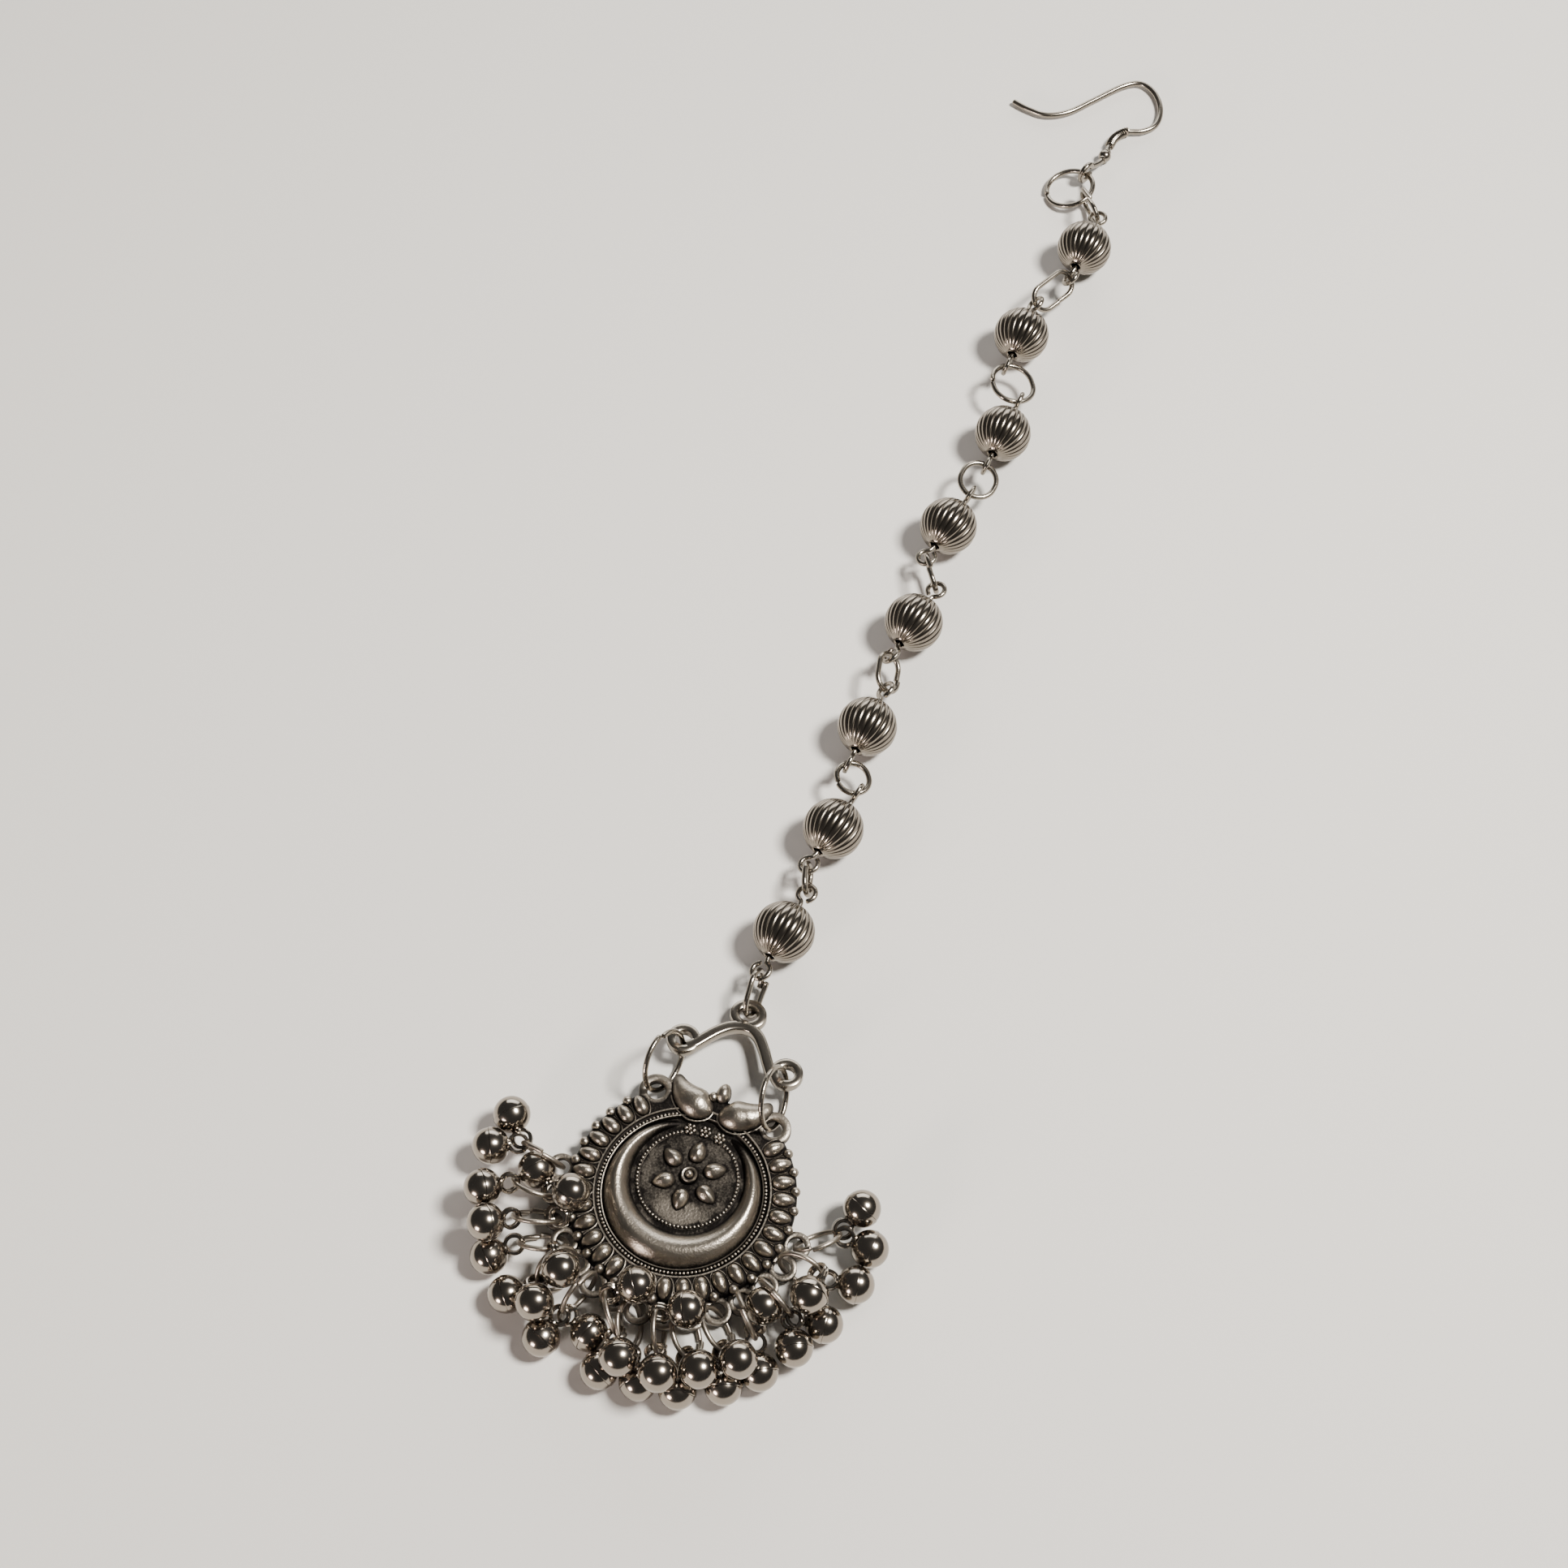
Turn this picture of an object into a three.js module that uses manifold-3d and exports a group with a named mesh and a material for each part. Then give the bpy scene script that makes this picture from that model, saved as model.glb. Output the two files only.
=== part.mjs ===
// A maang tikka in oxidised silver: a cast disc pendant fringed with small bells, an arched
// hanger, a chain of eight beads on eye pins and a wire hook for the hair, as it lies on a table.
// Millimetres and degrees. The layout is drawn about the middle of the pendant, with +Y
// towards the hook and z = 0 at the table, and is centred over its own footprint at the end.
import * as THREE from "three";
import { mergeVertices } from "three/addons/utils/BufferGeometryUtils.js";
import Module from "manifold-3d";

const wasm = await Module();
wasm.setup();

// ---- Driving dimensions ----
const MERGE_DISTANCE = 1e-4; // corners closer than this are one corner
const CLEARANCE = 0.03; // the lowest wires stay this far above the table

// The pendant, a flat-backed casting
const DISC_RADIUS = 12.4;
const DISC_BACK = 0.95; // height of the flat back over the table
const FIELD_TOP = 2.0; // height of the sunk field inside the rim
const RIM_TOP = 2.6;
const RIM_BEVEL = { across: 0.6, down: 0.5 };
const RIM_INNER = 9.5;
const RIM_SHOULDER = 0.4; // across the slope from the rim down to the beaded line
const BORDER_RADIUS = 9.05; // the beaded line between rim and field
const BORDER_TOP = 2.7;
const BORDER_FOOT = { across: 0.4, down: 0.35 };
const CRESCENT_OUTER = 8.6;
const CRESCENT_INNER = 6.2;
const CRESCENT_OFFSET = 1.7; // the inner circle sits this far towards the hanger
const CRESCENT_RISE = 1.7;
const CRESCENT_SWELL = { from: 20, to: 95 }; // it rises between these turns from the top
const CRESCENT_SUNK = { top: 0.2, foot: 0.6 }; // how deep its edges lie in the field
const FLOWER_CENTRE = 2.0; // up the axis from the middle of the disc
const PETALS = 6;
const PETAL_REACH = 2.7;
const PETAL = { length: 2.5, width: 1.4, height: 1.7 };
const BOSS_RADIUS = 1.05;
const BOSS_TOP = 3.3;
const FLORETS = 3;
const FLORET = { bearing: 14, reach: 7.75, radius: 0.75 };
const PAISLEY = { bearing: 14, reach: 10.4, tilt: 64, length: 5.6, width: 3.2, height: 2.6 };
const KNOB = { reach: 12.1, radius: 0.9 };
const CREST_NOTCH = { depth: 0.9, from: 22, to: 30 }; // the rim is drawn in under the crest

// Lugs: flat eyes cast on the edge of the disc
const LUG_THICKNESS = 0.8;
const DRILL_LENGTH = 3.2;
const LUG_HOLE = 0.9;
const LUG_OUTER = 1.55;
const LUG_REACH = 13.4; // from the middle of the disc to a hole in the lower row
const LUG_COUNT = 15;
const LUG_STEP = 12; // between neighbouring lugs, about the lowest one
const TOP_LUG = { bearing: 33.9, reach: 12.1, hole: 1.2, outer: 1.85 };

// The fringe: split rings with two bells each
const DROP_RING_RADIUS = 2.5; // to the middle of the wire
const DROP_WIRE = 0.28; // wire sizes are radii
const BELL_RADIUS = 2.0;
const SHANK_RADIUS = 0.95;
const SHANK_WIRE = 0.22;
const SHANK_REACH = 2.95; // from a bell's middle to the middle of its shank
const RING_REACH = 3.5; // from a bell's middle to the wire that it hangs on

// How each drop has settled. swing: the ring's turn from straight outwards. lean: its plane's
// lean from upright. at: where a bell hangs, as an angle round the ring from its far end.
// turn: the bell's direction about the ring's wire, from straight outwards.
const DROPS = [
  { swing: -10, lean: -14, bells: [{ at: -34, turn: -35 }, { at: -22, turn: 36 }] },
  { swing: -4, lean: -37, bells: [{ at: 7, turn: 21 }, { at: 135, turn: -151 }] },
  { swing: 0, lean: -35, bells: [{ at: 131, turn: -69 }, { at: 5, turn: 6 }] },
  { swing: -9, lean: -38, bells: [{ at: -21, turn: 27 }, { at: 87, turn: 20 }] },
  { swing: -7, lean: 30, bells: [{ at: -29, turn: -29 }, { at: -14, turn: 52 }] },
  { swing: 2, lean: 2, bells: [{ at: -43, turn: 0 }, { at: -55, turn: 90 }] },
  { swing: 35, lean: 18, bells: [{ at: 95, turn: 91 }, { at: -8, turn: 3 }] },
  { swing: -1, lean: 29, bells: [{ at: -25, turn: -47 }, { at: -44, turn: 20 }] },
  { swing: -3, lean: 14, bells: [{ at: -8, turn: 14 }, { at: 83, turn: 83 }] },
  { swing: -14, lean: 38, bells: [{ at: -6, turn: 41 }, { at: -23, turn: -27 }] },
  { swing: -14, lean: 37, bells: [{ at: -25, turn: -23 }, { at: -4, turn: 41 }] },
  { swing: -14, lean: 10, bells: [{ at: -40, turn: -14 }, { at: -96, turn: 144 }] },
  { swing: -4, lean: 8, bells: [{ at: -33, turn: -37 }, { at: -46, turn: 34 }] },
  { swing: 21, lean: -15, bells: [{ at: 5, turn: -83 }, { at: -38, turn: 18 }] },
  { swing: 29, lean: 36, bells: [{ at: -14, turn: -43 }, { at: -31, turn: 27 }] },
];

// The hanger: three flat eyes and the arched bar between them
const HANGER_TILT = -10; // its top eye lies lower than the other two
const HANGER = {
  top: [-0.3, 21.8],
  left: [-5.9, 16.3],
  right: [6.1, 16.1],
  bar: 0.62,
  thickness: 1.0,
  hole: 1.0,
  outer: 1.85,
  height: 2.6, // of the lower eyes' middle
  arch: [
    [-4.8, 17.3], [-3.3, 17.9], [-1.7, 19.4], [0, 20.0], [1.9, 19.2], [3.5, 17.7], [5.0, 17.1],
  ],
  neck: [[0, 19.7], [-0.3, 20.5]],
};
// slack: how far off the middle of an eye a side ring's wire passes
const SIDE_RING = { radius: 3.4, wire: 0.3, roll: 72, slack: 0.25 };
const HANGER_LINK = { wire: 0.32, halfWidth: 1.85, roll: 76 };

// The beads, from the hook down: middle of each, and its axis as a turn from +Y
const BEAD_RADIUS = 3.5;
const BEAD_BORE = 0.62;
const BEADS = [
  { x: 4.6, y: 138.2, turn: 3 },
  { x: 1.0, y: 121.7, turn: 3 },
  { x: 3.3, y: 106.0, turn: 5 },
  { x: 1.1, y: 90.4, turn: 12 },
  { x: 1.4, y: 75.7, turn: 12 },
  { x: 0.7, y: 60.2, turn: 5 },
  { x: 1.3, y: 46.1, turn: 12 },
  { x: 0.3, y: 31.9, turn: 9 },
];
const PIN_WIRE = 0.3;
const EYE_RADIUS = 1.04; // to the middle of the wire
const EYE_REACH = 5.4; // from a bead's middle to the middle of an eye

// The rings between the beads, from the hook down: half their width, and how far each stands
// up from lying flat. The eyes that a ring joins stand square to it.
const CHAIN_WIRE = 0.33;
const CATCH_GAP = 0.15; // between the first of them and the hook ring
const CHAIN_RINGS = [
  { halfWidth: 1.5, roll: 80 },
  { halfWidth: 1.6, roll: 45 },
  { halfWidth: 2.6, roll: 12 },
  { halfWidth: 2.2, roll: 12 },
  { halfWidth: 1.4, roll: 80 },
  { halfWidth: 1.6, roll: 45 },
  { halfWidth: 1.9, roll: 12 },
  { halfWidth: 1.3, roll: 75 },
];

// The ring that the hook holds, and the hook, which lies flat
const HOOK_RING = { x: -0.4, y: 149.5, radius: 3.1, wire: 0.35, tilt: 15, raised: 10, catch: -35 };
const HOOK_WIRE = 0.4;
const HOOK_HEIGHT = 0.45;
const HOOK_ROUTE = [
  [-12.2, 162.6], [-9.9, 161.9], [-7.2, 161.7], [-4.5, 163.2], [-1.8, 166.5], [1.2, 170.2],
  [3.4, 171.5], [5.6, 170.5], [7.2, 167.9], [7.4, 165.0], [6.0, 163.2], [3.9, 162.2],
  [2.8, 160.6], [2.5, 158.8], [2.4, 156.8], [1.4, 153.6],
];
const HOOK_COIL = { route: [[4.0, 162.25], [2.9, 160.8], [2.5, 158.9]], radius: 0.68 };
const HOOK_BALL = { at: [2.4, 156.8], radius: 0.85 };
const HOOK_EYE = { at: [0.95, 152.5], height: 1.62, radius: 1.15, bearing: 68 };

// ---- Materials ----
const castSilver = new THREE.MeshStandardMaterial({ color: 0x8a8176, roughness: 0.48, metalness: 1 });
const brightSilver = new THREE.MeshStandardMaterial({ color: 0x6f6a66, roughness: 0.2, metalness: 1 });
const wireSilver = new THREE.MeshStandardMaterial({ color: 0x9a948a, roughness: 0.34, metalness: 1 });

// ---- Solids ----
const rad = THREE.MathUtils.degToRad;

// A three.js geometry as a closed solid: shared corners merged and slivers left out.
function solidOf(geometry) {
  const bare = geometry.clone();
  bare.deleteAttribute("normal");
  bare.deleteAttribute("uv");
  const merged = mergeVertices(bare, MERGE_DISTANCE);
  const corners = merged.index.array;
  const kept = [];
  for (let i = 0; i < corners.length; i += 3) {
    const [a, b, c] = corners.slice(i, i + 3);
    if (a !== b && b !== c && c !== a) kept.push(a, b, c);
  }
  const mesh = new wasm.Mesh({
    numProp: 3,
    vertProperties: new Float32Array(merged.attributes.position.array),
    triVerts: new Uint32Array(kept),
  });
  return new wasm.Manifold(mesh);
}

function geometryOf(solid) {
  const mesh = solid.getMesh();
  const geometry = new THREE.BufferGeometry();
  geometry.setAttribute("position", new THREE.BufferAttribute(mesh.vertProperties, 3));
  geometry.setIndex(new THREE.BufferAttribute(mesh.triVerts, 1));
  geometry.computeVertexNormals();
  return geometry;
}

function joined(geometries) {
  const solids = geometries.map(solidOf);
  return geometryOf(solids.reduce((whole, next) => whole.add(next)));
}

// A matrix that puts a shape's own x and y axes along the two given directions.
function placement(origin, xAxis, yAxis) {
  const x = xAxis.clone().normalize();
  const z = x.clone().cross(yAxis).normalize();
  const y = z.clone().cross(x);
  return new THREE.Matrix4().makeBasis(x, y, z).setPosition(origin);
}

// A flat direction, as a turn from +Y towards +X.
function heading(degrees) {
  return new THREE.Vector3(Math.sin(rad(degrees)), Math.cos(rad(degrees)), 0);
}

const UP = new THREE.Vector3(0, 0, 1);

// The direction square to an axis that stands up by the given angle from lying flat.
function stoodUp(axis, roll) {
  const flat = axis.clone().cross(UP).normalize();
  const raised = flat.clone().cross(axis).normalize();
  return flat.multiplyScalar(Math.cos(rad(roll))).addScaledVector(raised, Math.sin(rad(roll)));
}

// A wire ring whose halves are drawn apart along x until it is 2 * halfLength long.
function linkGeometry(halfLength, halfWidth, wire, sides, steps) {
  const link = new THREE.TorusGeometry(halfWidth, wire, sides, steps);
  link.rotateZ(Math.PI / 2 + Math.PI / steps);
  const stretch = halfLength - halfWidth;
  const spot = link.attributes.position;
  for (let i = 0; i < spot.count; i++) {
    spot.setX(i, spot.getX(i) + stretch * Math.sign(spot.getX(i)));
  }
  return link;
}

function roundSection(radius, sides) {
  const section = new THREE.Shape();
  for (let i = 0; i < sides; i++) {
    const angle = (2 * Math.PI * i) / sides;
    const spot = [radius * Math.cos(angle), radius * Math.sin(angle)];
    if (i === 0) section.moveTo(...spot);
    else section.lineTo(...spot);
  }
  section.closePath();
  return section;
}

function wireGeometry(points, radius, sides, steps) {
  const path = new THREE.CatmullRomCurve3(points, false, "centripetal");
  return new THREE.ExtrudeGeometry(roundSection(radius, sides), {
    steps,
    bevelEnabled: false,
    extrudePath: path,
  });
}

// A flat eye: a round plate with a hole, lying in the xy plane about z = 0.
function eyePlate(outer, hole, thickness) {
  const plate = new THREE.Shape().absarc(0, 0, outer, 0, 2 * Math.PI);
  plate.holes.push(new THREE.Path().absarc(0, 0, hole, 0, 2 * Math.PI, true));
  const eye = new THREE.ExtrudeGeometry(plate, {
    depth: thickness,
    bevelEnabled: false,
    curveSegments: 6,
  });
  return eye.translate(0, 0, -thickness / 2);
}

function pebble({ length, width, height }) {
  return new THREE.SphereGeometry(0.5, 8, 5).scale(length, width, height);
}

// ---- Pendant ----
const LUG_MIDDLE = DISC_BACK + LUG_THICKNESS / 2;

function lowerLug(index) {
  const bearing = 180 - (index - (LUG_COUNT - 1) / 2) * LUG_STEP;
  return heading(bearing).multiplyScalar(LUG_REACH).setZ(LUG_MIDDLE);
}

function topLug(side) {
  return heading(side * TOP_LUG.bearing).multiplyScalar(TOP_LUG.reach).setZ(LUG_MIDDLE);
}

function discGeometry() {
  const profile = [
    [0, DISC_BACK],
    [DISC_RADIUS, DISC_BACK],
    [DISC_RADIUS, RIM_TOP - RIM_BEVEL.down],
    [DISC_RADIUS - RIM_BEVEL.across, RIM_TOP],
    [RIM_INNER + RIM_SHOULDER, RIM_TOP],
    [RIM_INNER, BORDER_TOP - BORDER_FOOT.down],
    [BORDER_RADIUS, BORDER_TOP],
    [BORDER_RADIUS - BORDER_FOOT.across, FIELD_TOP],
    [0, FIELD_TOP],
  ];
  const disc = new THREE.LatheGeometry(profile.map((p) => new THREE.Vector2(...p)), 48);
  disc.rotateX(Math.PI / 2);
  const spots = disc.getAttribute("position");
  for (let i = 0; i < spots.count; i++) {
    const [x, y] = [spots.getX(i), spots.getY(i)];
    const distance = Math.hypot(x, y);
    if (distance < DISC_RADIUS - RIM_BEVEL.across - CLEARANCE) continue;
    const fromTop = Math.abs(THREE.MathUtils.radToDeg(Math.atan2(x, y)));
    const notch = 1 - THREE.MathUtils.smoothstep(fromTop, CREST_NOTCH.from, CREST_NOTCH.to);
    const share = 1 - (CREST_NOTCH.depth * notch) / distance;
    spots.setXY(i, x * share, y * share);
  }
  return disc;
}

// The domed crescent: a lathed half-round band on a foot one unit high, laid between the
// crescent's two off-centre circles. Its top sinks into the field beyond the horns.
function crescentGeometry() {
  const steps = 4;
  const footMiddle = 0.5;
  const section = [new THREE.Vector2(1, 0)];
  for (let i = 0; i <= steps; i++) {
    const across = i / steps;
    section.push(new THREE.Vector2(1 + across, 1 + Math.sin(Math.PI * across)));
  }
  section.push(new THREE.Vector2(2, 0), new THREE.Vector2(1, 0));
  const band = new THREE.LatheGeometry(section, 32).rotateX(Math.PI / 2);
  const spot = band.attributes.position;
  for (let i = 0; i < spot.count; i++) {
    const across = Math.hypot(spot.getX(i), spot.getY(i)) - 1;
    const bearing = Math.atan2(spot.getX(i), spot.getY(i));
    const fromTop = Math.abs(THREE.MathUtils.radToDeg(bearing));
    const swell = THREE.MathUtils.smoothstep(fromTop, CRESCENT_SWELL.from, CRESCENT_SWELL.to);
    const radius = THREE.MathUtils.lerp(CRESCENT_INNER, CRESCENT_OUTER, across);
    const offset = CRESCENT_OFFSET * (1 - across);
    const level = spot.getZ(i);
    const top = (level - 1) * CRESCENT_RISE * swell - CRESCENT_SUNK.top;
    const z = FIELD_TOP + (level > footMiddle ? top : -CRESCENT_SUNK.foot);
    spot.setXYZ(i, radius * Math.sin(bearing), offset + radius * Math.cos(bearing), z);
  }
  return band;
}

function flowerGeometries() {
  const boss = new THREE.SphereGeometry(BOSS_RADIUS, 10, 6);
  boss.translate(0, FLOWER_CENTRE, BOSS_TOP - BOSS_RADIUS);
  const petals = Array.from({ length: PETALS }, (_, i) => {
    const bearing = (360 / PETALS) * i;
    const petal = pebble(PETAL).rotateZ(rad(90 - bearing));
    const spot = heading(bearing).multiplyScalar(PETAL_REACH);
    return petal.translate(spot.x, FLOWER_CENTRE + spot.y, FIELD_TOP);
  });
  return [boss, ...petals];
}

function floretGeometries() {
  return Array.from({ length: FLORETS }, (_, i) => {
    const spot = heading((i - (FLORETS - 1) / 2) * FLORET.bearing).multiplyScalar(FLORET.reach);
    return new THREE.SphereGeometry(FLORET.radius, 8, 5).translate(spot.x, spot.y, FIELD_TOP);
  });
}

function crestGeometries() {
  const paisleys = [-1, 1].map((side) => {
    const spot = heading(side * PAISLEY.bearing).multiplyScalar(PAISLEY.reach);
    const paisley = pebble(PAISLEY).rotateZ(rad(side * (90 - PAISLEY.tilt)));
    return paisley.translate(spot.x, spot.y, FIELD_TOP);
  });
  const knob = new THREE.SphereGeometry(KNOB.radius, 8, 6).translate(0, KNOB.reach, FIELD_TOP);
  return [...paisleys, knob];
}

function lugCylinder({ spot }, radius, height, sides) {
  const plate = new THREE.CylinderGeometry(radius, radius, height, sides);
  return plate.rotateX(Math.PI / 2).translate(spot.x, spot.y, spot.z);
}

function pendantGeometry() {
  const lower = Array.from({ length: LUG_COUNT }, (_, i) => {
    return { spot: lowerLug(i), outer: LUG_OUTER, hole: LUG_HOLE };
  });
  const upper = [-1, 1].map((side) => ({ spot: topLug(side), ...TOP_LUG }));
  const lugs = [...lower, ...upper];
  const plates = lugs.map((lug) => lugCylinder(lug, lug.outer, LUG_THICKNESS, 12));
  const raised = [crescentGeometry(), ...flowerGeometries(), ...floretGeometries()];
  const body = solidOf(joined([discGeometry(), ...raised, ...crestGeometries(), ...plates]));
  const holes = lugs.map((lug) => solidOf(lugCylinder(lug, lug.hole, DRILL_LENGTH, 10)));
  return geometryOf(holes.reduce((left, hole) => left.subtract(hole), body));
}

// ---- Fringe ----
// The rise of a drop ring that leans by the given angle, hangs in its lug and rests on the
// table: the sine s solves drop + R s = R sqrt(s^2 + (1 - s^2) cos^2 lean).
function restingRise(lean) {
  const drop = (LUG_MIDDLE - DROP_WIRE - CLEARANCE) / DROP_RING_RADIUS;
  const upright = Math.cos(rad(lean)) ** 2;
  const root = Math.sqrt(drop ** 2 + upright * (upright - drop ** 2));
  return Math.asin((root - drop) / upright);
}

function dropGeometry(drop, index) {
  const lug = lowerLug(index);
  const outwards = Math.atan2(lug.x, lug.y) - rad(drop.swing);
  const rise = restingRise(drop.lean);
  const along = new THREE.Vector3(Math.sin(outwards), Math.cos(outwards), 0);
  along.multiplyScalar(Math.cos(rise)).setZ(Math.sin(rise));
  const across = UP.clone().addScaledVector(along, -along.z).normalize();
  across.applyAxisAngle(along, rad(drop.lean));
  const centre = lug.clone().addScaledVector(along, DROP_RING_RADIUS);
  const ring = new THREE.TorusGeometry(DROP_RING_RADIUS, DROP_WIRE, 4, 14);
  const pieces = [ring.applyMatrix4(placement(centre, along, across))];

  for (const { at, turn } of drop.bells) {
    const outer = along.clone().multiplyScalar(Math.cos(rad(at)));
    outer.addScaledVector(across, Math.sin(rad(at)));
    const tangent = across.clone().multiplyScalar(Math.cos(rad(at)));
    tangent.addScaledVector(along, -Math.sin(rad(at)));
    const side = tangent.clone().cross(outer);
    const away = outer.clone().multiplyScalar(Math.cos(rad(turn)));
    away.addScaledVector(side, Math.sin(rad(turn)));
    const middle = centre.clone().addScaledVector(outer, DROP_RING_RADIUS);
    middle.addScaledVector(away, RING_REACH);
    const ball = new THREE.SphereGeometry(BELL_RADIUS, 8, 6);
    pieces.push(ball.applyMatrix4(placement(middle, tangent, away)));
    const shankMiddle = middle.clone().addScaledVector(away, -SHANK_REACH);
    const shank = new THREE.TorusGeometry(SHANK_RADIUS, SHANK_WIRE, 4, 8);
    shank.rotateY(Math.PI / 2);
    pieces.push(shank.applyMatrix4(placement(shankMiddle, tangent, away)));
  }
  return joined(pieces);
}

// ---- Hanger, side rings and link ----
// A point of the hanger's own plane, which tilts about the line of its lower eyes.
function hangerSpot([x, y]) {
  const hinge = (HANGER.left[1] + HANGER.right[1]) / 2;
  const reach = y - hinge;
  const tilt = rad(HANGER_TILT);
  return new THREE.Vector3(x, hinge + reach * Math.cos(tilt), HANGER.height + reach * Math.sin(tilt));
}

function hangerGeometry() {
  const eyes = [HANGER.top, HANGER.left, HANGER.right].map((spot) => {
    const eye = eyePlate(HANGER.outer, HANGER.hole, HANGER.thickness).rotateX(rad(HANGER_TILT));
    return eye.translate(...hangerSpot(spot));
  });
  const arch = wireGeometry(HANGER.arch.map(hangerSpot), HANGER.bar, 6, 18);
  const neck = wireGeometry(HANGER.neck.map(hangerSpot), HANGER.bar, 6, 1);
  return joined([...eyes, arch, neck]);
}

// A round ring through two eyes. Its middle stands off the line between them, upwards and
// to the left, in a plane that is rolled up from the table.
function sideRingGeometry(upper, lower) {
  const axis = upper.clone().sub(lower);
  const offset = Math.sqrt(SIDE_RING.radius ** 2 - (axis.length() / 2 - SIDE_RING.slack) ** 2);
  const off = stoodUp(axis.clone().negate(), SIDE_RING.roll);
  const centre = upper.clone().add(lower).multiplyScalar(0.5).addScaledVector(off, offset);
  const ring = new THREE.TorusGeometry(SIDE_RING.radius, SIDE_RING.wire, 5, 18);
  return ring.applyMatrix4(placement(centre, axis, off));
}

// A link whose wire passes through the middles of the two eyes that it joins.
function joiningLink(upper, lower, { halfWidth, roll }, wire) {
  const axis = lower.clone().sub(upper);
  const centre = upper.clone().add(lower).multiplyScalar(0.5);
  const halfLength = axis.length() / 2;
  const link = linkGeometry(halfLength, Math.min(halfWidth, halfLength), wire, 5, 16);
  return link.applyMatrix4(placement(centre, axis, stoodUp(axis, roll)));
}

// ---- Beads, pins and rings ----
function beadMiddle(index) {
  return new THREE.Vector3(BEADS[index].x, BEADS[index].y, BEAD_RADIUS + CLEARANCE);
}

// An eye of a bead's pin: side is 1 at the end towards the hook, and -1 at the other.
function pinEye(index, side) {
  return beadMiddle(index).addScaledVector(heading(BEADS[index].turn), side * EYE_REACH);
}

function beadGeometry(index) {
  const steps = 6;
  const start = Math.asin(BEAD_BORE / BEAD_RADIUS);
  const profile = Array.from({ length: steps + 1 }, (_, i) => {
    const angle = THREE.MathUtils.lerp(start, Math.PI - start, i / steps);
    return new THREE.Vector2(BEAD_RADIUS * Math.sin(angle), -BEAD_RADIUS * Math.cos(angle));
  });
  profile.push(profile[0].clone());
  const bead = new THREE.LatheGeometry(profile, 14);
  const axis = heading(BEADS[index].turn);
  return bead.applyMatrix4(placement(beadMiddle(index), axis.clone().cross(UP), axis));
}

function pinGeometry(index) {
  const axis = heading(BEADS[index].turn);
  const stem = new THREE.CylinderGeometry(PIN_WIRE, PIN_WIRE, 2 * (EYE_REACH - EYE_RADIUS), 6);
  stem.applyMatrix4(placement(beadMiddle(index), axis.clone().cross(UP), axis));
  const rolls = [CHAIN_RINGS[index].roll, (CHAIN_RINGS[index + 1] ?? HANGER_LINK).roll];
  const eyes = [1, -1].map((side, end) => {
    const eye = new THREE.TorusGeometry(EYE_RADIUS, PIN_WIRE, 4, 10);
    const outwards = axis.clone().multiplyScalar(-1);
    return eye.applyMatrix4(placement(pinEye(index, side), axis, stoodUp(outwards, rolls[end] + 90)));
  });
  return joined([stem, ...eyes]);
}

// ---- Hook and its ring ----
function hookRingMatrix() {
  const raised = new THREE.Vector3(Math.cos(rad(HOOK_RING.raised)), Math.sin(rad(HOOK_RING.raised)), 0);
  const level = UP.clone().cross(raised);
  raised.multiplyScalar(Math.cos(rad(HOOK_RING.tilt))).setZ(Math.sin(rad(HOOK_RING.tilt)));
  const middle = HOOK_RING.radius * raised.z + HOOK_RING.wire + CLEARANCE;
  return placement(new THREE.Vector3(HOOK_RING.x, HOOK_RING.y, middle), raised, level);
}

function hookRingGeometry() {
  const ring = new THREE.TorusGeometry(HOOK_RING.radius, HOOK_RING.wire, 5, 18);
  return ring.applyMatrix4(hookRingMatrix());
}

// The end of the first chain ring: just inside the raised side of the hook ring.
function hookRingCatch() {
  const inside = HOOK_RING.radius - HOOK_RING.wire - CHAIN_WIRE - CATCH_GAP;
  const spot = new THREE.Vector3(inside, 0, 0).applyAxisAngle(UP, rad(HOOK_RING.catch));
  return spot.applyMatrix4(hookRingMatrix());
}

function flatSpot([x, y], height = HOOK_HEIGHT) {
  return new THREE.Vector3(x, y, height);
}

function hookGeometry() {
  const route = HOOK_ROUTE.map((spot) => flatSpot(spot));
  route[route.length - 1].z = HOOK_EYE.height;
  route[route.length - 2].z = HOOK_BALL.radius + CLEARANCE;
  const wire = wireGeometry(route, HOOK_WIRE, 6, 34);
  const coilRoute = HOOK_COIL.route.map((spot) => flatSpot(spot, HOOK_COIL.radius + CLEARANCE));
  const coil = wireGeometry(coilRoute, HOOK_COIL.radius, 6, 4);
  const ball = new THREE.SphereGeometry(HOOK_BALL.radius, 8, 5);
  ball.translate(...flatSpot(HOOK_BALL.at, HOOK_BALL.radius + CLEARANCE));
  const eye = new THREE.TorusGeometry(HOOK_EYE.radius, HOOK_WIRE, 5, 12);
  const eyeAxis = new THREE.Vector3(Math.cos(rad(HOOK_EYE.bearing)), Math.sin(rad(HOOK_EYE.bearing)), 0);
  eye.applyMatrix4(placement(flatSpot(HOOK_EYE.at, HOOK_EYE.height), eyeAxis, UP));
  return joined([wire, coil, ball, eye]);
}

// ---- Assembly ----
const layout = new THREE.Group();

function addPiece(name, geometry, material) {
  const mesh = new THREE.Mesh(geometry, material);
  mesh.name = name;
  layout.add(mesh);
}

addPiece("pendant", pendantGeometry(), castSilver);
DROPS.forEach((drop, i) => {
  addPiece(`bell_drop_${String(i + 1).padStart(2, "0")}`, dropGeometry(drop, i), brightSilver);
});

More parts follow.
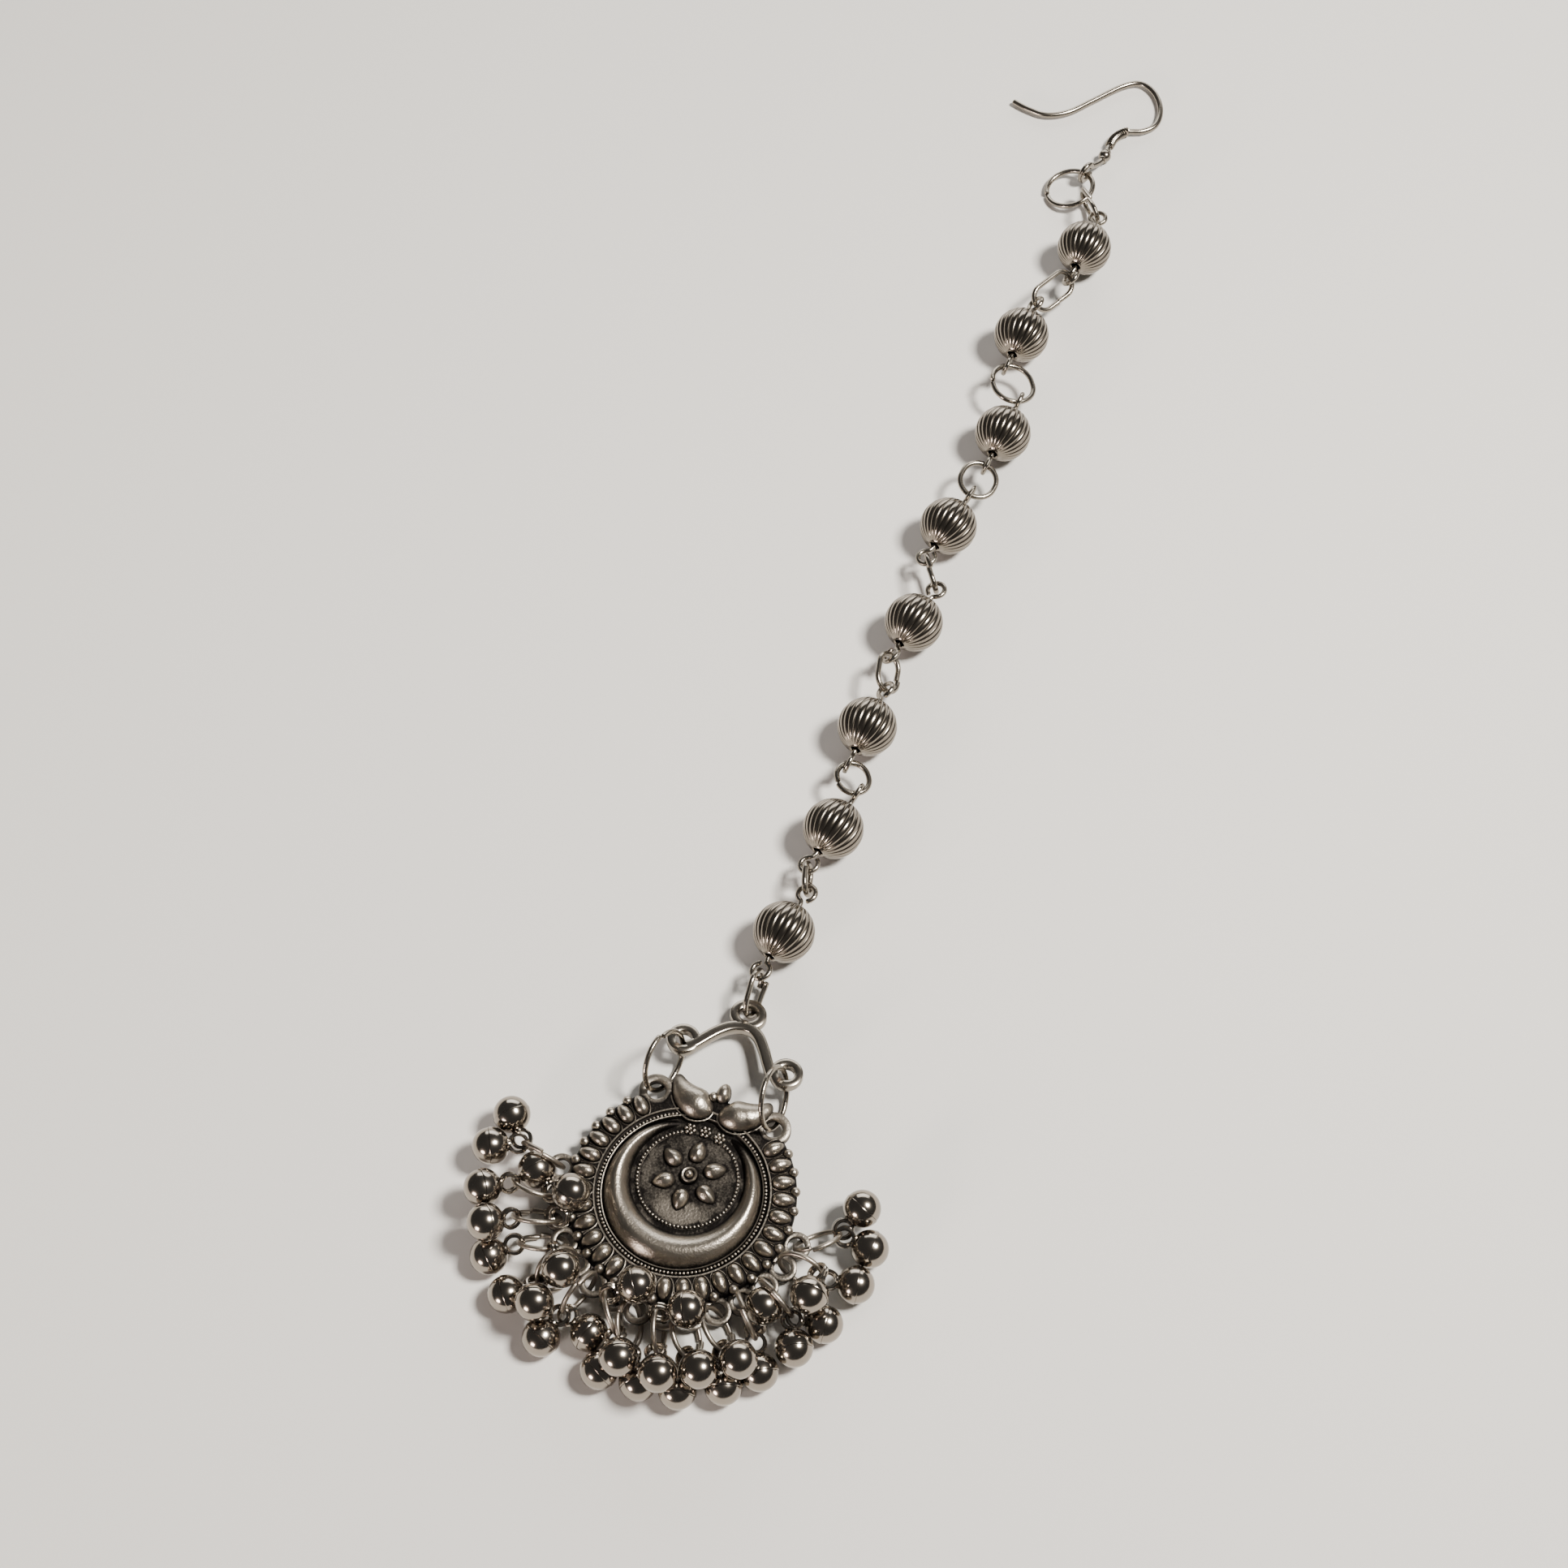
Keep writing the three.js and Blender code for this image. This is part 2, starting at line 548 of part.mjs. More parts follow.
addPiece("hanger", hangerGeometry(), castSilver);
const leftRing = sideRingGeometry(hangerSpot(HANGER.left), topLug(-1));
const rightRing = sideRingGeometry(hangerSpot(HANGER.right), topLug(1));
addPiece("side_ring_left", leftRing, wireSilver);
addPiece("side_ring_right", rightRing, wireSilver);
const lastEye = pinEye(BEADS.length - 1, -1);
const topLink = joiningLink(lastEye, hangerSpot(HANGER.top), HANGER_LINK, HANGER_LINK.wire);
addPiece("hanger_link", topLink, wireSilver);

BEADS.forEach((bead, i) => {
  addPiece(`bead_${i + 1}`, beadGeometry(i), brightSilver);
  addPiece(`eye_pin_${i + 1}`, pinGeometry(i), wireSilver);
});

CHAIN_RINGS.forEach((ring, i) => {
  const upper = i === 0 ? hookRingCatch() : pinEye(i - 1, -1);
  addPiece(`chain_ring_${i + 1}`, joiningLink(upper, pinEye(i, 1), ring, CHAIN_WIRE), wireSilver);
});
addPiece("hook_ring", hookRingGeometry(), wireSilver);
addPiece("ear_hook", hookGeometry(), wireSilver);

const box = new THREE.Box3().setFromObject(layout);
const footprint = box.getCenter(new THREE.Vector3());
layout.position.set(-footprint.x, -footprint.y, -box.min.z);

const tikka = new THREE.Group();
tikka.add(layout);
export default tikka;
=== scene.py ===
"""A maang tikka in oxidised silver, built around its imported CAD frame.

Shapes are worked out in millimetres and turned to metres when a piece is finished. Every piece
takes its place from the CAD node that it stands for.
"""

import math

import bmesh
import bpy
import numpy as np
from bpy.props import FloatProperty, FloatVectorProperty, IntProperty, PointerProperty
from bpy.types import Operator, Panel, PropertyGroup
from mathutils import Matrix, Vector
from mathutils.bvhtree import BVHTree


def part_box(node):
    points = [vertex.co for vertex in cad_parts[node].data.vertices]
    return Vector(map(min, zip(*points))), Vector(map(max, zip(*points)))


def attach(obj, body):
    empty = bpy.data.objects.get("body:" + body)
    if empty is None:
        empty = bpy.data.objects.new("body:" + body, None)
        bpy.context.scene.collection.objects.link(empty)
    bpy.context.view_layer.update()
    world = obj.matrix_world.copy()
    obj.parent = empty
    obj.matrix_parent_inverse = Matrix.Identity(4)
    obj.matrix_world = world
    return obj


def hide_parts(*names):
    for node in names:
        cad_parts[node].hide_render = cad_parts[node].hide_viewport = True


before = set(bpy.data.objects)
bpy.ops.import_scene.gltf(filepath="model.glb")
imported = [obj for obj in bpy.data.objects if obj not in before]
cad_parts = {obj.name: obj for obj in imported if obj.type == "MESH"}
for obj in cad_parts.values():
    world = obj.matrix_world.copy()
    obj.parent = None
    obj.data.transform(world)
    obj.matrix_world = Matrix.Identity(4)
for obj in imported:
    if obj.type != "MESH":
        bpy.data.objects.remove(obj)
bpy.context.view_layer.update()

bl_info = {
    "name": "Maang Tikka",
    "version": (1, 0, 0),
    "blender": (4, 5, 0),
    "location": "View3D > Sidebar > Tikka",
    "description": "Builds a maang tikka in oxidised silver around its CAD frame",
    "category": "Add Mesh",
}

MM = 0.001
UP = Vector((0, 0, 1))
SHARP = math.radians(38)  # edges that turn more than this stay crisp


# ---- Measuring the frame ----
def corners(node):
    """A CAD node's corners in millimetres, each one once."""
    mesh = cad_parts[node].data
    spots = np.zeros(len(mesh.vertices) * 3)
    mesh.vertices.foreach_get("co", spots)
    return np.unique(np.round(spots.reshape(-1, 3) / MM, 4), axis=0)


def round_centres(points, across, count):
    """The middles of the round shapes whose opposite corners are this far apart.

    Each middle comes with the corners that share it.
    """
    first, second = np.triu_indices(len(points), 1)
    facing = abs(np.linalg.norm(points[first] - points[second], axis=1) - across) < 0.01
    first, second = first[facing], second[facing]
    middles = (points[first] + points[second]) / 2
    found = []
    for _ in range(count):
        near = np.linalg.norm(middles[:, None] - middles[None], axis=2) < 0.05
        together = near[near.sum(1).argmax()]
        rim = points[np.concatenate([first[together], second[together]])]
        found.append((Vector(middles[together].mean(0)), rim))
        middles, first, second = middles[~together], first[~together], second[~together]
    return found


def own_axes(points):
    """The middle of a set of points and its long, wide and thin directions."""
    middle = points.mean(0)
    directions = np.linalg.svd(points - middle, full_matrices=False)[2]
    return Vector(middle), [Vector(direction) for direction in directions]


def nodes_called(start):
    """The CAD nodes whose names start like this, in order."""
    return sorted(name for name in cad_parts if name.startswith(start))


def reach(points, middle, direction):
    """How far points go from a middle, along a direction or against it."""
    return float(abs((points - np.array(middle)) @ np.array(direction)).max())


def placement(origin, x, y):
    """A matrix that puts a shape's own X and Y along two directions."""
    x = x.normalized()
    z = x.cross(y).normalized()
    turn = Matrix((x, z.cross(x), z)).transposed().to_4x4()
    return Matrix.Translation(origin) @ turn


def heading(degrees, length=1.0, height=0.0):
    """A flat direction, as a turn from +Y towards +X."""
    turn = math.radians(degrees)
    return Vector((length * math.sin(turn), length * math.cos(turn), height))


# ---- Shapes ----
def positions(mesh):
    """A mesh's points, a row for each."""
    spots = np.zeros(len(mesh.vertices) * 3)
    mesh.vertices.foreach_get("co", spots)
    return spots.reshape(-1, 3)


def form(bm, wear=None):
    """A finished shape that can be set into pieces.

    wear says how rubbed each point is. Shapes that were assembled bring their own.
    """
    bmesh.ops.recalc_face_normals(bm, faces=bm.faces)
    assembled = bm.verts.layers.float.get("wear") is not None
    mesh = bpy.data.meshes.new("form")
    bm.to_mesh(mesh)
    bm.free()
    if not assembled:
        spots = positions(mesh)
        worn = np.ones(len(spots)) if wear is None else wear(*spots.T)
        layer = mesh.attributes.new("wear", "FLOAT", "POINT")
        layer.data.foreach_set("value", worn.astype(np.float32))
    return mesh


UNDERSIDE = 0.6  # wear of the pendant's flat back, which is rubbed evenly


def rubbed(hollow, low, high, back=-math.inf):
    """Wear that grows to full between two heights. Below the back it is the underside's."""
    return lambda x, y, z: np.where(
        z < back, UNDERSIDE, hollow + (1 - hollow) * step_between(low, high, z)
    )


def evenly(share):
    """The same wear everywhere."""
    return lambda x, y, z: share + 0 * x


def assemble(parts):
    """One bmesh of shapes, each with its place."""
    bm = bmesh.new()
    bm.verts.layers.float.new("wear")
    for mesh, place in parts:
        copy = mesh.copy()
        copy.transform(place)
        bm.from_mesh(copy)
        bpy.data.meshes.remove(copy)
    return bm


def spun(profile, steps, closed=False):
    """A shape turned about Z from (radius, height) points."""
    bm = bmesh.new()
    spots = [bm.verts.new((radius, 0, height)) for radius, height in profile]
    pairs = list(zip(spots, spots[1:]))
    if closed:
        pairs.append((spots[-1], spots[0]))
    edges = [bm.edges.new(pair) for pair in pairs]
    whole = {"cent": (0, 0, 0), "axis": UP, "angle": 2 * math.pi, "use_merge": True}
    bmesh.ops.spin(bm, geom=spots + edges, steps=steps, **whole)
    bmesh.ops.remove_doubles(bm, verts=bm.verts, dist=1e-5)
    return bm


def rounded_section(width, thickness, power=1.0, sides=16):
    """The outline of a round bar, or of a squarer one where the power is less than 1."""
    turns = [2 * math.pi * (i + 0.5) / sides for i in range(sides)]
    return [
        (
            width / 2 * math.copysign(abs(math.cos(t)) ** power, math.cos(t)),
            thickness / 2 * math.copysign(abs(math.sin(t)) ** power, math.sin(t)),
        )
        for t in turns
    ]


def ball(radius, around=8, down=5):
    """A ball with its poles up and down."""
    bm = bmesh.new()
    bmesh.ops.create_uvsphere(bm, u_segments=around, v_segments=down, radius=radius)
    return bm


def smooth_route(points, spacing):
    """Points along a soft curve through the given ones."""
    spots = [Vector(point) for point in points]
    padded = [2 * spots[0] - spots[1], *spots, 2 * spots[-1] - spots[-2]]
    route = []
    for a, b, c, d in zip(padded, padded[1:], padded[2:], padded[3:]):
        steps = max(1, round((c - b).length / spacing))
        for i in range(steps):
            t = i / steps
            bend = (2 * a - 5 * b + 4 * c - d) * t**2 + (3 * b - a - 3 * c + d) * t**3
            route.append(b + ((c - a) * t + bend) / 2)
    return [*route, spots[-1]]


def stations(route, side=None):
    """A matrix at each point of a route, with Z along it and no twist between them."""
    ahead = [(b - a).normalized() for a, b in zip(route, route[1:])]
    ways = [ahead[0], *[(a + b).normalized() for a, b in zip(ahead, ahead[1:])], ahead[-1]]
    side = side or ways[0].orthogonal()
    matrices = []
    for spot, way in zip(route, ways):
        side = (side - way * side.dot(way)).normalized()
        turn = Matrix((side, way.cross(side), way)).transposed().to_4x4()
        matrices.append(Matrix.Translation(spot) @ turn)
    return matrices


def swept(section, places):
    """A section drawn along a row of places, closed at both ends."""
    bm = bmesh.new()
    face = bm.faces.new([bm.verts.new(places[0] @ Vector((x, y, 0))) for x, y in section])
    for last, here in zip(places, places[1:]):
        drawn = bmesh.ops.extrude_face_region(bm, geom=[face])["geom"]
        spots = [item for item in drawn if isinstance(item, bmesh.types.BMVert)]
        bmesh.ops.transform(bm, matrix=here @ last.inverted(), verts=spots)
        face = next(item for item in drawn if isinstance(item, bmesh.types.BMFace))
    return bm


def wire(route, radius, sides=10):
    """Round wire along a route, with its cut ends filed round."""
    places = stations(route)
    nose = 0.35 * radius  # how far back an end is filed
    filed = 0.62  # how much of the wire's width the file leaves
    for end, inwards in ((0, 1), (-1, -1)):
        tip = places[end]
        shoulder = tip @ Matrix.Translation((0, 0, inwards * nose))
        places[end] = tip @ Matrix.Diagonal((filed, filed, 1, 1))
        places.insert(1 if end == 0 else len(places) - 1, shoulder)
    turns = [2 * math.pi * i / sides for i in range(sides)]
    return swept([(radius * math.cos(t), radius * math.sin(t)) for t in turns], places)


def link_spot(half_long, half_wide, share):
    """A point of a link's outline, two half circles drawn apart, as a share of its length."""
    stretch = half_long - half_wide
    quarter = math.pi / 2 * half_wide
    number, part = divmod(share % 1 * 4, 1)
    way = (1 - part if number % 2 else part) * (quarter + stretch)  # from the nearer tip
    turn = min(way / half_wide, math.pi / 2)
    x = half_wide * math.cos(turn) + stretch - max(way - quarter, 0)
    y = half_wide * math.sin(turn)
    return x if number in (0, 3) else -x, y if number < 2 else -y


def ring_route(middle, long, wide, half_long, half_wide, joint, gap, skew, steps=48):
    """The route of a bent ring, along the long and wide directions of its plane.

    joint is where its ends meet, gap the space between them in millimetres, and skew how far
    they pass each other sideways.
    """
    normal = long.cross(wide).normalized()
    gap /= 2 * math.pi * half_wide + 4 * (half_long - half_wide)
    route = []
    for i in range(steps + 1):
        share = i / steps
        x, y = link_spot(half_long, half_wide, joint + gap / 2 + share * (1 - gap))
        aside = skew * (share - 0.5) * abs(2 * share - 1) ** 3
        route.append(middle + long * x + wide * y + normal * aside)
    return route


def step_between(low, high, value):
    """Smoothly from 0 to 1 as value goes from low to high."""
    share = np.clip((value - low) / (high - low), 0, 1)
    return share * share * (3 - 2 * share)


# ---- Materials ----
def linear(code):
    """A hex colour as linear red, green, blue and alpha."""
    parts = [int(code[i : i + 2], 16) / 255 for i in (1, 3, 5)]
    bent = [part / 12.92 if part <= 0.04045 else ((part + 0.055) / 1.055) ** 2.4 for part in parts]
    return (*bent, 1.0)


def add_node(tree, kind, settings=(), links=()):
    """A shader node with its settings and links. A number names a socket by its place."""
    node = tree.nodes.new(kind)
    for name, value in dict(settings).items():
        if isinstance(name, int) or name in node.inputs:
            node.inputs[name].default_value = value
        else:
            setattr(node, name, value)
    for name, source in dict(links).items():
        tree.links.new(source, node.inputs[name])
    return node


def blank_material(name):
    """A material with no nodes but the place on the piece, which it gives with its tree."""
    material = bpy.data.materials.new(name)
    material.use_nodes = True
    tree = material.node_tree
    tree.nodes.clear()
    return tree, add_node(tree, "ShaderNodeTexCoord").outputs["Object"]


PATCH_SIZE = 2.6  # handling leaves dull and bright patches of 2 to 3 mm
PATCH_WEAR = 0.5  # how far wear varies from patch to patch
PATCH_ROUGHNESS = 0.16
GRAIN_WEAR = 0.36
DRAWN = 2.0  # wear of the fringe's rings, whose wire is satin as it was drawn
DRAWN_ROUGHNESS = 0.2  # on top of a polished bell's


def silver(name, metal, oxide, satin, grain, wear):
    """Silver whose oxide is rubbed off where the wear attribute is high.

    satin holds the roughness of rubbed metal and of oxide, grain the size and depth in
    millimetres of its skin's texture, and wear where metal starts to show and where it is bare.
    """
    tree, place = blank_material(name)
    worn = add_node(tree, "ShaderNodeAttribute", {"attribute_name": "wear"}).outputs["Fac"]
    skin = add_node(
        tree, "ShaderNodeTexNoise", {"Scale": 1 / (grain[0] * MM), "Detail": 3.0}, {"Vector": place}
    ).outputs["Fac"]
    patch_scale = 1 / (PATCH_SIZE * MM)
    patches = add_node(
        tree, "ShaderNodeTexNoise", {"Scale": patch_scale, "Detail": 4.0}, {"Vector": place}
    ).outputs["Fac"]
    centred = {"operation": "MULTIPLY_ADD", 1: PATCH_WEAR, 2: -PATCH_WEAR / 2}
    uneven = add_node(tree, "ShaderNodeMath", centred, {0: patches}).outputs[0]
    grained = add_node(
        tree, "ShaderNodeMath", {"operation": "MULTIPLY_ADD", 1: GRAIN_WEAR}, {0: skin, 2: uneven}
    ).outputs[0]
    total = {"operation": "ADD"}
    bared = add_node(tree, "ShaderNodeMath", total, {0: worn, 1: grained}).outputs[0]
    between = {"interpolation_type": "SMOOTHSTEP", "From Min": wear[0], "From Max": wear[1]}
    share = add_node(tree, "ShaderNodeMapRange", between, {"Value": bared}).outputs["Result"]
    colour = add_node(
        tree, "ShaderNodeMix", {"data_type": "RGBA", 6: oxide, 7: metal}, {0: share}
    ).outputs[2]
    dullness = add_node(
        tree, "ShaderNodeMapRange", {"To Min": satin[1], "To Max": satin[0]}, {"Value": share}
    ).outputs["Result"]
    as_drawn = {"From Min": 1.0, "From Max": DRAWN, "To Max": DRAWN_ROUGHNESS}
    satiny = add_node(tree, "ShaderNodeMapRange", as_drawn, {"Value": worn}).outputs["Result"]
    dulled = add_node(tree, "ShaderNodeMath", total, {0: dullness, 1: satiny}).outputs[0]
    patched = {"operation": "MULTIPLY_ADD", 1: PATCH_ROUGHNESS}
    roughness = add_node(tree, "ShaderNodeMath", patched, {0: uneven, 2: dulled}).outputs[0]
    bump = add_node(
        tree, "ShaderNodeBump", {"Strength": 1.0, "Distance": grain[1] * MM}, {"Height": skin}
    ).outputs["Normal"]
    looks = {"Base Color": colour, "Roughness": roughness, "Normal": bump}
    surface = add_node(tree, "ShaderNodeBsdfPrincipled", {"Metallic": 1.0}, looks).outputs[0]
    add_node(tree, "ShaderNodeOutputMaterial", {}, {"Surface": surface})


def studio_paper(name, colour):
    """Matt paper: soft, with a fibre grain that is barely seen."""
    tree, place = blank_material(name)
    fibre = add_node(
        tree, "ShaderNodeTexNoise", {"Scale": 1 / (0.8 * MM), "Detail": 3.0}, {"Vector": place}
    ).outputs["Fac"]
    bump = add_node(
        tree, "ShaderNodeBump", {"Strength": 0.25, "Distance": 0.05 * MM}, {"Height": fibre}
    ).outputs["Normal"]
    surface = add_node(
        tree, "ShaderNodeBsdfPrincipled", {"Base Color": colour, "Roughness": 0.9}, {"Normal": bump}
    ).outputs[0]
    add_node(tree, "ShaderNodeOutputMaterial", {}, {"Surface": surface})
    return bpy.data.materials[name]


FINISHES = {
    # Sand-cast and oxidised, then rubbed: dark grainy hollows, satin tops.
    "cast_silver": {
        "colour": "metal", "satin": (0.32, 0.55), "grain": (0.24, 0.04), "wear": (0.3, 1.1),
    },
    # Pressed and barrel-polished: mirror skin, with oxide left only in the seam.
    "bell_silver": {
        "colour": "polished", "satin": (0.17, 0.4), "grain": (0.5, 0.004), "wear": (-0.05, 0.5),
    },
    # Fluted in a die and polished: bright ribs with thin dark lines between them.
    "bead_silver": {
        "colour": "beads", "satin": (0.19, 0.4), "grain": (0.4, 0.004), "wear": (0.1, 0.85),
    },
    # Drawn wire, pickled and lightly oxidised: satin, with faint scuffs.
    "silver_wire": {
        "colour": "wire", "satin": (0.24, 0.45), "grain": (0.3, 0.006), "wear": (-0.05, 0.6),
    },
}


def finish_of(slot):
    """The material of a slot, made the first time that it is asked for."""
    name = slot.replace("_", " ")
    if name not in bpy.data.materials:
        colours = bpy.context.scene.tikka_finish
        look = FINISHES[slot]
        metal = tuple(getattr(colours, look["colour"]))
        silver(name, metal, tuple(colours.oxide), look["satin"], look["grain"], look["wear"])
    return bpy.data.materials[name]


def finish_piece(name, bm, slot, *nodes):
    """Makes a shown piece of a shape in millimetres, standing for its CAD nodes."""
    bmesh.ops.recalc_face_normals(bm, faces=bm.faces)
    bmesh.ops.scale(bm, vec=(MM, MM, MM), verts=bm.verts)
    mesh = bpy.data.meshes.new(name)
    bm.to_mesh(mesh)
    bm.free()
    mesh.shade_smooth()
    mesh.set_sharp_from_angle(angle=SHARP)
    mesh.materials.append(finish_of(slot))
    piece = bpy.data.objects.new(name, mesh)
    bpy.context.scene.collection.objects.link(piece)
    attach(piece, "root")
    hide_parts(*nodes)


# ---- Settings ----
class TikkaPendant(PropertyGroup):
    """Sizes of the ornament cast on the pendant's face."""

    seeds: IntProperty(
        name="Seeds", description="Seeds round the rim, with the middle one lowest", default=27
    )
    seed_step: FloatProperty(
        name="Seed spacing", description="Turn between seeds",
        subtype="ANGLE", default=math.radians(10.4),
    )
    petals: IntProperty(name="Petals", description="Petals of the flower", default=6)
    dot_spacing: FloatProperty(
        name="Dot spacing", description="Between the dots of a beaded line",
        unit="LENGTH", default=0.42 * MM,
    )
    lugs: IntProperty(name="Lugs", description="Eyes along the lower edge", default=15)
    lug_step: FloatProperty(
        name="Lug spacing", description="Turn between lugs",
        subtype="ANGLE", default=math.radians(12),
    )


class TikkaChain(PropertyGroup):
    """Sizes of the beads and bells."""

    flutes: IntProperty(name="Flutes", description="Ribs round a bead", default=24)
    flute_depth: FloatProperty(
        name="Flute depth", description="Depth between ribs", unit="LENGTH", default=0.16 * MM
    )
    seam: FloatProperty(
        name="Seam", description="Step where a bell's halves meet",
        unit="LENGTH", default=0.045 * MM,
    )


class TikkaFinish(PropertyGroup):
    """Colours of the metal and of its oxide."""

    metal: FloatVectorProperty(
        name="Cast silver", description="Rubbed cast silver",
        subtype="COLOR", size=4, default=linear("#9d958a"),
    )
    polished: FloatVectorProperty(
        name="Bells", description="Polished bells",
        subtype="COLOR", size=4, default=linear("#958d83"),
    )
    beads: FloatVectorProperty(
        name="Beads", description="Polished fluted beads",
        subtype="COLOR", size=4, default=linear("#857d73"),
    )
    wire: FloatVectorProperty(
        name="Wire", description="Rings, pins and hook",
        subtype="COLOR", size=4, default=linear("#8f887e"),
    )
    oxide: FloatVectorProperty(
        name="Oxide", description="Dark oxide in the hollows",
        subtype="COLOR", size=4, default=linear("#181615"),
    )


class TikkaStage(PropertyGroup):
    """The floor and the lights."""

    floor: FloatVectorProperty(
        name="Floor", description="Colour of the paper floor",
        subtype="COLOR", size=4, default=linear("#d6d4d0"),
    )
    key: FloatProperty(
        name="Key light", description="Power of the key light", unit="POWER", default=5.6
    )
    fill: FloatProperty(
        name="Fill light", description="Power of the fill light", unit="POWER", default=1.0
    )
    panel: FloatProperty(
        name="Panel", description="Power of the panel behind", unit="POWER", default=2.0
    )


# ---- Pendant ----
# Heights are over the flat back, reaches go out from the disc's middle, and turns are degrees
# from its top.
FIELD = 1.05
GROUND = 1.45
EDGE = 12.25
RUBBED_PATCH = {"x": 0.5, "y": -2.2, "half_width": 3.6, "half_height": 1.9}
CREST_CUT = {"depth": 0.9, "from": 22, "to": 30}
CRESCENT = {"outer": 8.55, "inner": 6.1, "offset": 1.6, "rise": 1.65}
SETTLED = -0.08  # the crescent and its dots sit a little below the middle
OUTER_DOTS = {"middle": Vector((0, SETTLED, 1.44)), "radius": 8.95, "opening": 24}
INNER_DOTS = {"middle": Vector((0, CRESCENT["offset"], FIELD + 0.1)), "radius": 5.42, "opening": 27}
FLOWER = Vector((0.05, 2.0, FIELD))
PETAL_REACH = 2.72  # from the flower's middle
FLORETS = {"reach": 7.2, "turns": (-13.5, 0, 13.5), "radius": 0.46}
SEED_REACH = 10.85
GRANULE_REACH = 12.05
PAISLEY_PLACE = (0.3, 0, GROUND - 0.25)
BUD_PLACE = (0.4, 11.9, GROUND - 0.1)
LOBE = {"place": (-0.55, 11.15, GROUND + 0.1), "scale": (0.62, 0.5, 0.5, 1)}
CAD_LUG = 1.55  # outer radius of a lug in the frame
LUG = {"hole": 0.9, "outer": 1.56, "thickness": 0.86, "reach": 13.4, "height": 0.42}
TOP_LUG = {
    "hole": 1.0, "outer": 1.94, "thickness": 1.25, "reach": 12.1, "height": 0.75, "turn": 33.9,
    "bay": 1.4,  # how far round each one the rim is cut back
}
DISC_PROFILE = [
    (0, 0), (6, 0), (11.9, 0), (12.15, 0.08), (EDGE, 0.3), (EDGE, 0.95), (12.12, 1.25),
    (11.85, 1.4), (11.4, GROUND), (10.9, GROUND), (10.4, GROUND), (9.95, GROUND), (9.62, GROUND),
    (9.52, 1.6), (9.38, 1.6), (9.28, 1.38), (9.12, 1.3), (9.0, 1.32), (8.88, 1.3), (8.76, 1.38),
    (8.7, 1.56), (8.6, 1.54), (8.52, 1.2), (8.4, FIELD),
    *((tenths / 10, FIELD) for tenths in range(76, 9, -6)),  # close enough to hold the rubbed patch
    (0.5, FIELD), (0, FIELD),
]


def pendant_origin():
    """The middle of the flat back."""
    low, high = (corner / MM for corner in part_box("pendant"))
    return Vector(((low.x + high.x) / 2, low.y + LUG["reach"] + CAD_LUG, low.z))


def rim_cut(x, y):
    """How far the rim is drawn in at a place: under the crest, and in a bay at each top eye."""
    turn = math.atan2(abs(x), y)
    beside = step_between(CREST_CUT["from"], CREST_CUT["to"], math.degrees(turn))
    crest = CREST_CUT["depth"] * (1 - beside)
    aside = TOP_LUG["reach"] * (turn - math.radians(TOP_LUG["turn"]))
    bay = EDGE - TOP_LUG["reach"] + math.sqrt(max(TOP_LUG["bay"] ** 2 - aside**2, 0))
    return max(crest, bay if abs(aside) < TOP_LUG["bay"] else 0)


def disc_form():
    """The plate, with its rim drawn in at the top, and the patch that is rubbed."""
    bm = spun(DISC_PROFILE, 216)
    flat_to = 9.8  # the seeds' ledge gives way outside this reach
    for spot in bm.verts:
        distance = math.hypot(spot.co.x, spot.co.y)
        if distance > flat_to:
            drawn_in = rim_cut(*spot.co.xy) * float(step_between(flat_to, 12.2, distance))
            spot.co.xy *= 1 - drawn_in / distance

    def wear(x, y, z):
        patch = np.hypot(
            (x - RUBBED_PATCH["x"]) / RUBBED_PATCH["half_width"],
            (y - RUBBED_PATCH["y"]) / RUBBED_PATCH["half_height"],
        )
        field = (0.12 + 0.3 * (1 - step_between(0.3, 1.15, patch))) * (abs(z - FIELD) < 0.1)
        lines = 0.75 * step_between(1.47, 1.56, z)
        return np.where(z < 0.2, UNDERSIDE, np.maximum(0.16 + field, lines))

    return form(bm, wear)


def crescent_form():
    """A domed crescent between two circles, sinking into the field at its horns."""
    steps = 12
    arch = [(1 + i / steps, math.sin(math.pi * i / steps) ** 0.75) for i in range(steps + 1)]
    bottom = -0.6
    bm = spun([(1, bottom), *arch, (2, bottom)], 168, closed=True)
    for spot in bm.verts:
        across = math.hypot(spot.co.x, spot.co.y) - 1
        bearing = math.atan2(spot.co.x, spot.co.y)
        swell = float(step_between(13, 95, abs(math.degrees(bearing)))) ** 0.6
        radius = CRESCENT["inner"] + (CRESCENT["outer"] - CRESCENT["inner"]) * across
        lift = -0.5
        if spot.co.z > bottom / 2:
            lift = spot.co.z * CRESCENT["rise"] * swell - 0.3 * (1 - swell)
        offset = CRESCENT["offset"] * (1 - across)
        spot.co = (radius * math.sin(bearing), offset + radius * math.cos(bearing), lift)
    return form(bm, rubbed(0.12, 0.15, 1.45))


def seed_form():
    """A rice-shaped seed, fuller at the end that points inwards along -Y."""
    bm = ball(1.0, 16, 12)
    for spot in bm.verts:
        fullness = 1 - 0.2 * spot.co.y
        spot.co = (0.76 * spot.co.x * fullness, 1.24 * spot.co.y, 0.88 * spot.co.z * fullness)
    return form(bm, rubbed(0.25, 0.1, 0.62))


def seed_frame_form():
    """The fine raised line round the inner end of a seed."""
    turns = [math.radians(turn) for turn in range(-118, 119, 14)]
    route = [Vector((0.94 * math.sin(t), 0.12 - 1.56 * math.cos(t), 0.03)) for t in turns]
    return form(wire(route, 0.09, 5), evenly(0.7))


